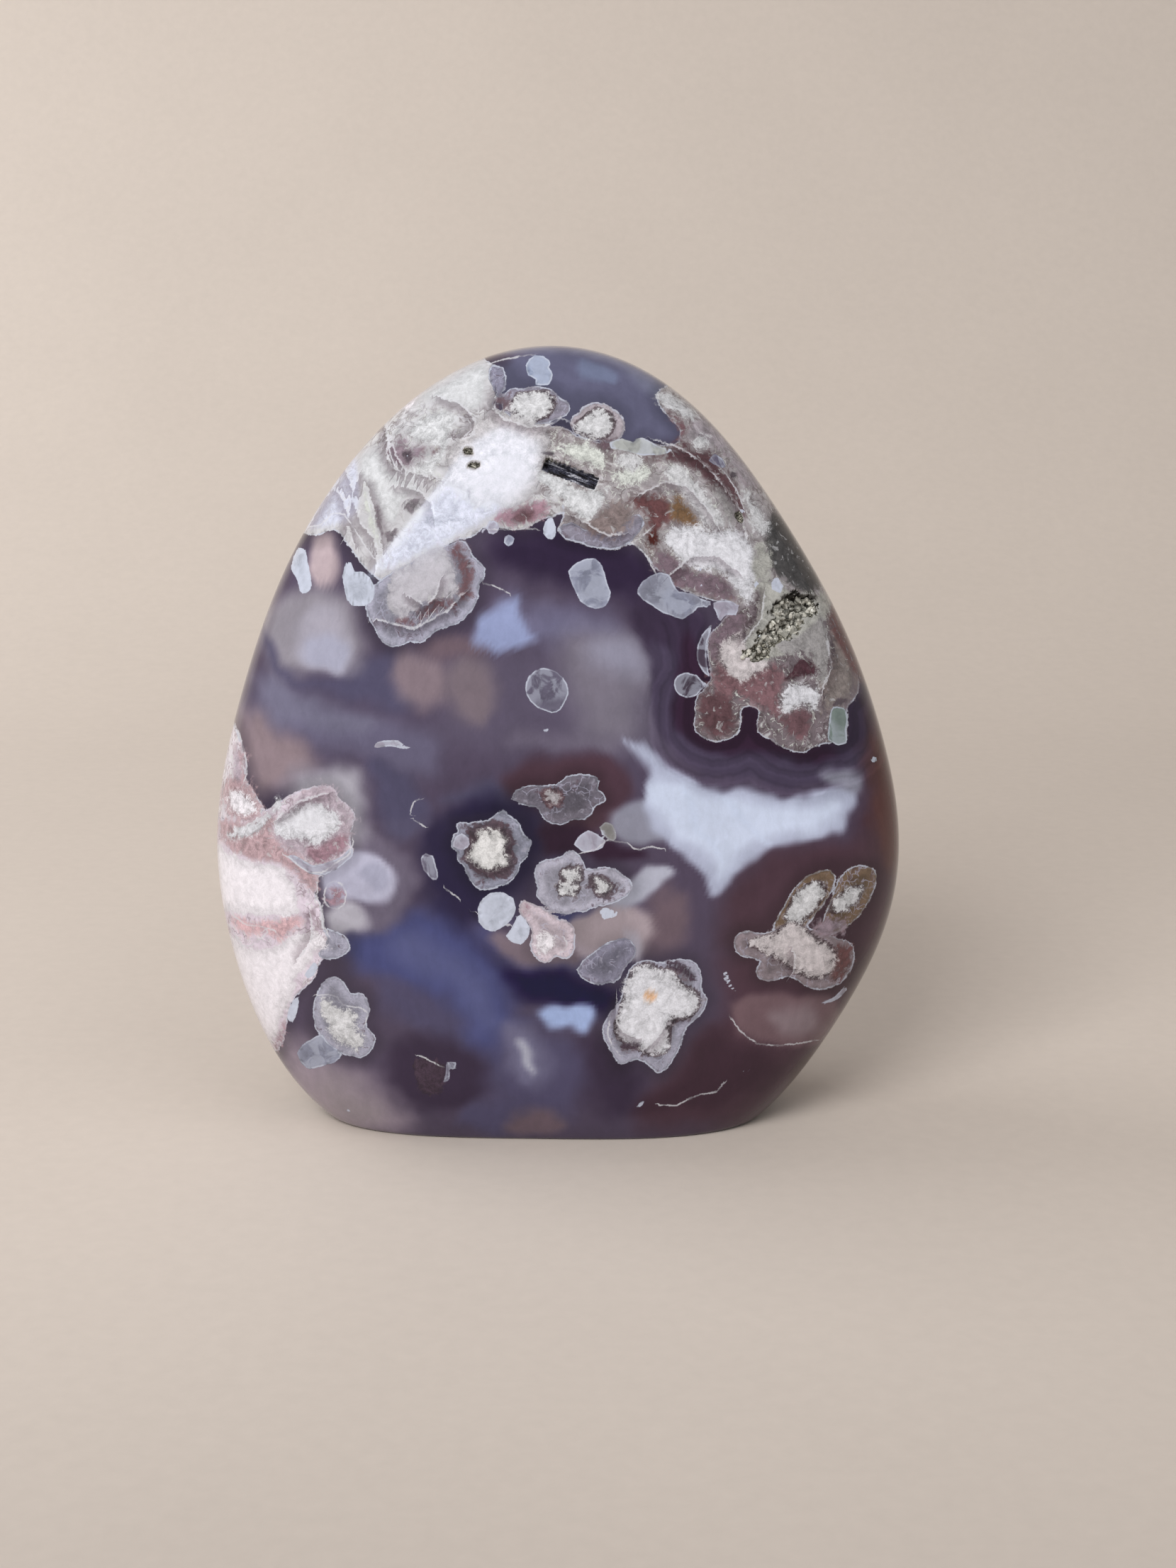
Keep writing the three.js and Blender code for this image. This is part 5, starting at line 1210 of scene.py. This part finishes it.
def polishedAgate():
    s = Shader("agate_polished")
    place = s.scaled(s.place(), 1 / mm)
    swirled = s.swirl(place, 0.5, 2.6)
    clots = s.mottle(place, 0.38, 4, 0.55, 0.8)
    grain = s.mottle(swirled, 1.2, 5, 0.62, 0.4)
    fine = s.mottle(place, 5.0, 3, 0.65)
    facet = s.cells(place, 1.0, output="Color") - 0.5
    lump = s.cells(swirled, 0.85, "SMOOTH_F1", Smoothness=0.3) - 0.35

    # Ground: clouds, faint threads and the fine bands that follow the flowers' outlines
    away = s.attribute("halo") * -1
    ringed = away + clots * 0.3
    wave = (ringed * 3.3 + 1.4).maths("SINE") + (ringed * 8.7).maths("SINE") * 0.35
    drift = s.mottle(place, 0.12, 3, 0.55)
    stretched = s.node("ShaderNodeMapping", {}, {"Vector": swirled, "Rotation": (0, 0.6, 0),
                                                 "Scale": (1, 1, 0.16)})
    thread = s.mottle(stretched, 0.9, 3, 0.6)
    shade = 1 + wave * s.attribute("bands") + drift * 0.12 + thread * 0.07 + clots * 0.04 + fine * 0.03
    shade = shade * s.step(away, -0.2, 2.2, 0.66, 1)
    colour = s.scaled(s.attribute("ground", "Color"), shade)

    # Masses of crumbly quartz: light and dark clots with healed cracks
    mass = s.attribute("masses") + clots * 0.16 + grain * 0.2
    base = s.attribute("massesTone", "Color")
    rough = s.step(s.attribute("calm") + clots, -0.8, 0.8, 1, 0.35)
    dark = s.tinted(base, (0.4, 0.35, 0.35))
    rock = s.scaled(base, 1 + (clots * 0.34 + grain * 0.24 - lump * 0.3 + fine * 0.1) * rough)
    rock = s.blend(s.step(lump + clots * 0.8 + grain * 0.3, 0.15, 0.7, 0, 0.7) * rough, rock, dark)
    bright = s.step(grain - lump * 0.8 + clots * 0.5, 0.2, 0.6, 0, 0.7) * rough
    rock = s.blend(bright, rock, s.tone("cream"))
    crack = abs(s.noise(swirled, 0.34, 3, 0.5, 1.2) - 0.5)
    rock = s.blend(s.step(crack, 0.002, 0.014, 0.8, 0) * rough, rock, s.tone("straw"))
    crease = abs(s.noise(swirled, 0.5, 2, 0.5, 0.8) - 0.53)
    rock = s.blend(s.step(crease, 0.004, 0.04, 0.75, 0) * rough, rock, dark)
    rock = s.blend(s.whiteEdge(mass, clots), rock, s.tone("iceWhite"))
    colour = s.blend(s.step(mass, -0.05, 0.08), colour, rock)

    # Petals: clear grey quartz in round grains
    rim = s.attribute("petals") + clots * 0.12 + grain * 0.16 - lump * 0.2
    shade = 1 + grain * 0.3 + facet * 0.16 + fine * 0.14 + clots * 0.16
    petal = s.scaled(s.attribute("petalsTone", "Color"), shade)
    petal = s.scaled(petal, s.step(rim, 0.1, 0.5, 0.85, 1.25) * s.step(rim, 0.7, 1.7, 1, 0.64))
    petal = s.blend(s.step(grain - lump, 0.2, 0.6, 0, 0.5), petal, s.tone("mist"))
    grainEdge = s.cells(swirled, 0.8, "DISTANCE_TO_EDGE")
    seam = s.step(grainEdge, 0.01, 0.08, 0.5, 0) * s.step(clots, -0.2, 0.3)
    petal = s.blend(seam, petal, s.tone("iceLilac"))
    gap = s.step(s.attribute("gap") + grain * 0.4 + clots * 0.45, 0.15, 0.5, 0, 0.88)
    petal = s.blend(gap, petal, s.scaled(s.tone("gapBrown"), 1.1 + grain * 0.9 - lump * 0.5))
    petal = s.blend(s.whiteEdge(rim, clots), petal, s.tone("iceWhite"))
    colour = s.blend(s.step(rim, -0.04, 0.05), colour, petal)

    # Warm quartz, soft edged and mottled
    warm = s.attribute("warm") + clots * 0.7 + grain * 0.8 - lump * 0.6
    shade = 1 + grain * 0.45 + clots * 0.25 + fine * 0.18 - lump * 0.3
    warmth = s.scaled(s.attribute("warmTone", "Color"), shade)
    warmth = s.blend(s.step(grain * -1 - lump, 0.25, 0.6, 0, 0.5), warmth, s.tone("ashWhite"))
    colour = s.blend(s.step(warm, -0.7, 0.7), colour, warmth)

    # Sugary hearts: bright in the middle, with a spiky edge that fades into the petals
    sugar = s.attribute("sugar") + clots * 0.5 + (grain * 0.65 + fine * 0.4) * rough - lump * 0.5
    crumbs = (fine * 0.2 + grain * 0.26 - lump * 0.34) * (0.3 + rough * 0.7)
    heart = s.scaled(s.attribute("sugarTone", "Color"), s.step(sugar, -0.6, 2.0, 0.84, 1.14) + crumbs)
    heartMask = s.step(sugar, -0.6, 0.3) * 0.4 + s.step(sugar, -0.1, 0.25) * 0.6
    colour = s.blend(heartMask, colour, heart)

    # Folds: painted shade as of a hollow on one side of a line, a thin painted highlight as of a ridge on the
    # other
    side = s.attribute("creaseSide") + grain * 0.3
    near = s.step(s.attribute("creases"), 0.8, 2.2, 1, 0)
    foldShade = s.step(side, -0.06, 0.06) * s.step(side, 0.1, 2.0, 0.62, 0) * near
    colour = s.blend(foldShade, colour, s.tinted(colour, (0.34, 0.28, 0.31)))
    foldHighlight = s.step(side, -0.42, -0.2) * s.step(side, -0.1, 0.0, 0.7, 0) * near
    foldHighlight = foldHighlight * s.step(clots, -0.4, 0.2, 0.2, 1)
    colour = s.blend(foldHighlight, colour, s.tone("milk"))

    # Dark hollows under the polish and painted shadow in the rough pocket, then plates of clear crystal and
    # thin white lines
    hollow = s.attribute("pockets") + grain * 0.5
    depths = s.scaled(s.attribute("pocketsTone", "Color"), 1 + grain * 0.6 + fine * 0.3)
    colour = s.blend(s.step(hollow, -0.25, 0.35, 0, 0.92), colour, depths)
    plate = s.attribute("plates") + grain * 0.08
    clear = s.step(plate, 0.2, 1.2, 1.1, 0.92) + grain * 0.16 + (facet * 0.3 + clots * 0.16) * (rough - 0.3)
    glass = s.scaled(s.attribute("platesTone", "Color"), clear)
    cloudy = s.step(foldHighlight, 0.01, 0.07, 0.5, 0) * s.step(clots, -0.3, 0.2) * (rough - 0.3)  # not on the painted fold highlights
    glass = s.blend(cloudy, glass, s.tone("iceWhite"))
    glass = s.blend(s.whiteEdge(plate, clots), glass, s.tone("iceWhite"))
    colour = s.blend(s.step(plate, -0.04, 0.05), colour, glass)
    thin = s.step(abs(s.attribute("lineSide") + grain * 0.16), 0.04, 0.16, 0.75, 0)
    thin = thin * s.step(s.attribute("lines"), 0.4, 0.8, 1, 0) * s.step(clots, -0.4, 0.1, 0.25, 1)
    colour = s.blend(thin, colour, s.tone("milk"))

    # Crumbly rock in the open cavities, with painted shade in the gaps between its crumbs, streaked slate in
    # the slot
    openness = s.attribute("open")
    crumb = s.cells(swirled, 2.0, output="Color") - 0.5
    chink = s.cells(swirled, 2.0, "DISTANCE_TO_EDGE")
    shade = 1 + crumb * 0.9 + grain * 0.5 + clots * 0.5 + fine * 0.3
    broken = s.scaled(s.attribute("openTone", "Color"), shade)
    broken = s.blend(s.step(crumb, 0.12, 0.4, 0, 0.75), broken, s.tone("rockPale"))
    # painted shade in the gaps between the crumbs
    broken = s.blend(s.step(chink, 0.02, 0.14, 0.9, 0), broken, s.tone("rockDark"))
    blade = s.node("ShaderNodeCombineXYZ", {}, {"X": s.attribute("slotAlong") * 0.22,
                                                "Y": s.attribute("slotAcross") * 1.5})
    streak = s.mottle(blade, 1.3, 4, 0.6, 0.4)
    slate = s.scaled(s.tone("slotSlate"), 1 + streak * 0.9 + fine * 0.3)
    slate = s.blend(s.step(streak, 0.1, 0.32, 0, 0.9), slate, s.tone("silver"))
    slate = s.blend(s.step(streak, -0.4, -0.15, 0.9, 0), slate, s.tone("rockDark"))
    broken = s.blend(s.attribute("slot"), broken, slate)
    colour = s.blend(s.step(openness, 0.1, 0.7), colour, broken)

    roughness = polish["roughness"] + heartMask * polish["heartRoughness"]
    roughness = roughness + openness * polish["openRoughness"]
    height = (grain * 0.4 + crumb + s.step(chink, 0, 0.2)) * openness
    relief = s.node("ShaderNodeBump", {}, {"Strength": polish["relief"], "Distance": polish["reliefDepth"],
                                           "Height": height})
    s.surface({"Base Color": colour, "Roughness": roughness, "Normal": relief,
               "Specular IOR Level": polish["specular"]}, polish["ior"])
    return s.material


stonePiece = addObject("agate_stone", agateMesh)
agateMesh.materials.append(polishedAgate())
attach(stonePiece, "root")
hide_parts("agate_freeform")
print("stone dressed")

# Druse of small quartz crystals on the walls of the rough pocket, in metres
druse = {
    "density": 3e6,
    "length": 0.0007,
    "sides": 6,
    "width": 0.36,  # radius as a share of the length
    "taper": 0.9,  # radius at the prism's top as a share of its foot's
    "prism": 0.7,  # the prism's and the tip's height, and where the tip starts, as shares of the length
    "tip": 0.45,
    "tipStart": 0.69,
    "seed": 4,
    "sizes": (0.45, 1.5),
    "lean": 0.7,  # in radians, to either side
    "leastOpen": 0.9,
    "leastAcross": 8 * mm,
    "highest": 74.6 * mm,
    "roughness": 0.18,
}


def cavityWalls():
    opened = np.empty(len(agateMesh.vertices))
    agateMesh.attributes["open"].data.foreach_get("value", opened)
    walls = [tuple(f.vertices) for f in agateMesh.polygons
             if f.center.x > druse["leastAcross"] and f.center.z < druse["highest"]
             and min(opened[i] for i in f.vertices) >= druse["leastOpen"]]
    used = sorted({i for face in walls for i in face})
    place = {i: k for k, i in enumerate(used)}
    mesh = bpy.data.meshes.new("agate_druse")
    points = [agateMesh.vertices[i].co[:] for i in used]
    mesh.from_pydata(points, [], [[place[i] for i in face] for face in walls])
    return mesh


def druseNodes(material):
    tree = bpy.data.node_groups.new("druse", "GeometryNodeTree")
    inputs = {"Geometry": "Geometry", "Density": "Float", "Length": "Float", "Seed": "Int"}
    for name, kind in inputs.items():
        tree.interface.new_socket(name, in_out="INPUT", socket_type="NodeSocket" + kind)
    tree.interface.new_socket("Geometry", in_out="OUTPUT", socket_type="NodeSocketGeometry")
    g = Graph(tree)
    given = g.node("NodeGroupInput")
    density, length, seed = (given.beside(name) for name in ("Density", "Length", "Seed"))
    wide = length * druse["width"]
    narrow = wide * druse["taper"]

    def cone(bottom, top, height):
        return g.node("GeometryNodeMeshCone", {"fill_type": "NGON"}, {
            "Vertices": druse["sides"], "Radius Top": top, "Radius Bottom": bottom, "Depth": length * height})

    prism, tip = cone(wide, narrow, druse["prism"]), cone(narrow, 0, druse["tip"])
    onPrism = g.node("ShaderNodeCombineXYZ", {}, {"Z": length * druse["tipStart"]})
    lifted = g.node("GeometryNodeTransform", {}, {"Geometry": tip, "Translation": onPrism})
    crystal = g.node("GeometryNodeJoinGeometry")
    for part in (prism, lifted):
        tree.links.new(part.socket, crystal.socket.node.inputs[0])
    points = g.node("GeometryNodeDistributePointsOnFaces", {},
                    {"Mesh": given, "Density": density, "Seed": seed})
    least, most = druse["sizes"]
    size = g.node("FunctionNodeRandomValue", {}, {"Min_001": least, "Max_001": most, "Seed": seed}, 1)
    lean = druse["lean"]
    leaning = g.node("FunctionNodeRandomValue", {"data_type": "FLOAT_VECTOR"},
                     {"Min": (-lean, -lean, 0), "Max": (lean, lean, 6.3), "Seed": seed})
    turn = g.node("FunctionNodeEulerToRotation", {}, {"Euler": leaning})
    turned = g.node("FunctionNodeRotateRotation", {"rotation_space": "LOCAL"},
                    {"Rotation": points.beside(2), "Rotate By": turn})
    placed = g.node("GeometryNodeInstanceOnPoints", {},
                    {"Points": points, "Instance": crystal, "Rotation": turned, "Scale": size})
    real = g.node("GeometryNodeRealizeInstances", {}, {"Geometry": placed})
    dressed = g.node("GeometryNodeSetMaterial", {}, {"Geometry": real, "Material": material})
    g.node("NodeGroupOutput", {}, {"Geometry": dressed})
    return tree


def quartz():
    s = Shader("druse_quartz")
    speck = s.cells(s.scaled(s.place(), 1 / mm), 1.2, output="Color")
    colour = s.blend(s.step(speck, 0.35, 0.75), s.tone("quartzGrey"), s.tone("quartzPale"))
    s.surface({"Base Color": colour, "Roughness": druse["roughness"]}, polish["ior"])
    return s.material


crystals = addObject("agate_druse", cavityWalls())
crystalMaterial = quartz()
scatter = crystals.modifiers.new("druse", "NODES")
scatter.node_group = druseNodes(crystalMaterial)
for item in scatter.node_group.interface.items_tree:
    if item.in_out == "INPUT" and item.name in ("Density", "Length", "Seed"):
        scatter[item.identifier] = druse[item.name.lower()]
grown = crystals.evaluated_get(bpy.context.evaluated_depsgraph_get())
crystals.data = bpy.data.meshes.new_from_object(grown)
crystals.modifiers.clear()
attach(crystals, "root")
print("druse:", len(crystals.data.polygons), "faces")

# Floor, light and camera, in metres
stage = {
    "front": -0.9,
    "bend": 0.22,  # where the floor starts to curve up
    "radius": 0.35,
    "top": 1.1,
    "width": 2.6,
    "steps": 24,
    "shaded": (-0.26, -0.02),  # the floor gets darker from the second of these towards the camera
    "roughness": 0.75,
    "roomColour": (0.98, 0.94, 0.92, 1),
    "roomStrength": 0.28,
    "sensor": 36,
    "clip": (0.01, 10),
}
lamps = [  # name, place, size, power, colour and aim
    ("window", (-0.42, -0.85, 0.72), 0.6, 12, (1, 0.985, 0.97), (0, 0, 0.05)),
    ("room", (0.6, -0.5, 0.6), 0.9, 2, (0.97, 0.98, 1), (0, 0, 0.05)),
    ("doorway", (-0.5, 0.2, 0.45), 0.4, 1.8, (1, 1, 1), (-0.12, 0.16, 0)),
]
glare = {  # the window's reflection, given by its outline on the face in the picture
    "outline": [-27.2, 79, -24, 83.4, -20.5, 87.6, -17, 92, -13, 97.5, -8, 100.5, -2.5, 98, -3.4, 93,
                -6, 90, -12, 86.4, -16, 84, -21.5, 81.4],
    "away": 0.5,
    "strength": 12,
    "colour": (0.72, 0.81, 1, 1),
}


def floorMesh():
    half = stage["width"] / 2
    profile = [(stage["front"], 0)]
    for step in range(stage["steps"] + 1):
        turn = math.pi / 2 * step / stage["steps"]
        along, up = math.sin(turn), 1 - math.cos(turn)
        profile.append((stage["bend"] + stage["radius"] * along, stage["radius"] * up))
    profile.append((profile[-1][0], stage["top"]))
    points = [(side * half, y, z) for y, z in profile for side in (-1, 1)]
    faces = [(2 * i, 2 * i + 1, 2 * i + 3, 2 * i + 2) for i in range(len(profile) - 1)]
    mesh = bpy.data.meshes.new("paper")
    mesh.from_pydata(points, [], faces)
    mesh.shade_smooth()
    return mesh


def paper():
    s = Shader("paper")
    place = s.place()
    mottle = s.noise(place, 9, 4, 0.6) * 0.1 + s.noise(place, 400, 3, 0.6) * 0.1
    nearer = s.node("ShaderNodeSeparateXYZ", {}, {"Vector": place}, 1)
    shade = (0.9 + mottle) * s.step(nearer, *stage["shaded"], 0.6, 1)
    s.surface({"Base Color": s.scaled(s.tone("paper"), shade), "Roughness": stage["roughness"]})
    return s.material


floor = addObject("paper_floor", floorMesh())
floor.data.materials.append(paper())


def metres(point):  # from millimetres of the unshifted stone
    return (Vector(point) - Vector(shift)) * mm


def turnTo(aim, place):
    return (Vector(aim) - Vector(place)).to_track_quat("-Z", "Y").to_euler()


for name, place, size, power, colour, aim in lamps:
    light = bpy.data.lights.new(name, "AREA")
    light.shape = "SQUARE"
    light.size = size
    light.energy = power
    light.color = colour
    lamp = addObject(name, light)
    lamp.location = place
    lamp.rotation_euler = turnTo(aim, place)
    lamp.visible_glossy = False
    lamp.visible_camera = False


def windowPane():  # the pane's corners lie where the view is reflected to from the glare's outline
    tree = surfaceTree(agateMesh)
    middleU, middleV = view["pictureMiddle"]
    start = metres(lens)
    rays = []
    for a, b in pointsOf(glare["outline"]):
        target = metres(np.array(view["aim"]) + np.array([a - middleU, 0, 0]) + pictureUp * (b - middleV))
        direction = (target - start).normalized()
        hit = tree.ray_cast(start, direction)[0]
        onFace = hit / mm + Vector(shift)
        rays.append((hit, direction.reflect(faceAxes(onFace.x, onFace.z)[1])))
    normal = sum((ray for _, ray in rays), Vector()).normalized()
    centre = sum((hit for hit, _ in rays), Vector()) / len(rays) + normal * glare["away"]
    return [hit + ray * ((centre - hit).dot(normal) / ray.dot(normal)) for hit, ray in rays]


pane = bpy.data.meshes.new("window_pane")
paneCorners = windowPane()
pane.from_pydata([tuple(c) for c in paneCorners], [], [tuple(range(len(paneCorners)))])
paneObject = addObject("window_pane", pane)
glow = Shader("window_glow")
emission = glow.node("ShaderNodeEmission", {}, {"Color": glare["colour"], "Strength": glare["strength"]})
glow.node("ShaderNodeOutputMaterial", {}, {"Surface": emission})
pane.materials.append(glow.material)
for kindOfRay in ("camera", "diffuse", "shadow", "transmission", "volume_scatter"):
    setattr(paneObject, "visible_" + kindOfRay, False)
print("window pane:", [tuple(round(c, 3) for c in corner) for corner in paneCorners])

scene.world = scene.world or bpy.data.worlds.new("room")
scene.world.use_nodes = True
backdrop = scene.world.node_tree.nodes["Background"]
backdrop.inputs["Color"].default_value = stage["roomColour"]
backdrop.inputs["Strength"].default_value = stage["roomStrength"]

camera = bpy.data.cameras.new("camera")
camera.sensor_width = stage["sensor"]
camera.sensor_fit = "AUTO"
camera.lens = stage["sensor"] * view["distance"] / view["pictureHeight"]
camera.clip_start, camera.clip_end = stage["clip"]
cameraObject = addObject("camera", camera)
cameraObject.location = metres(lens)
cameraObject.rotation_euler = turnTo(metres(view["aim"]), metres(lens))
scene.camera = cameraObject
scene.view_settings.view_transform = "Standard"
scene.view_settings.look = "None"
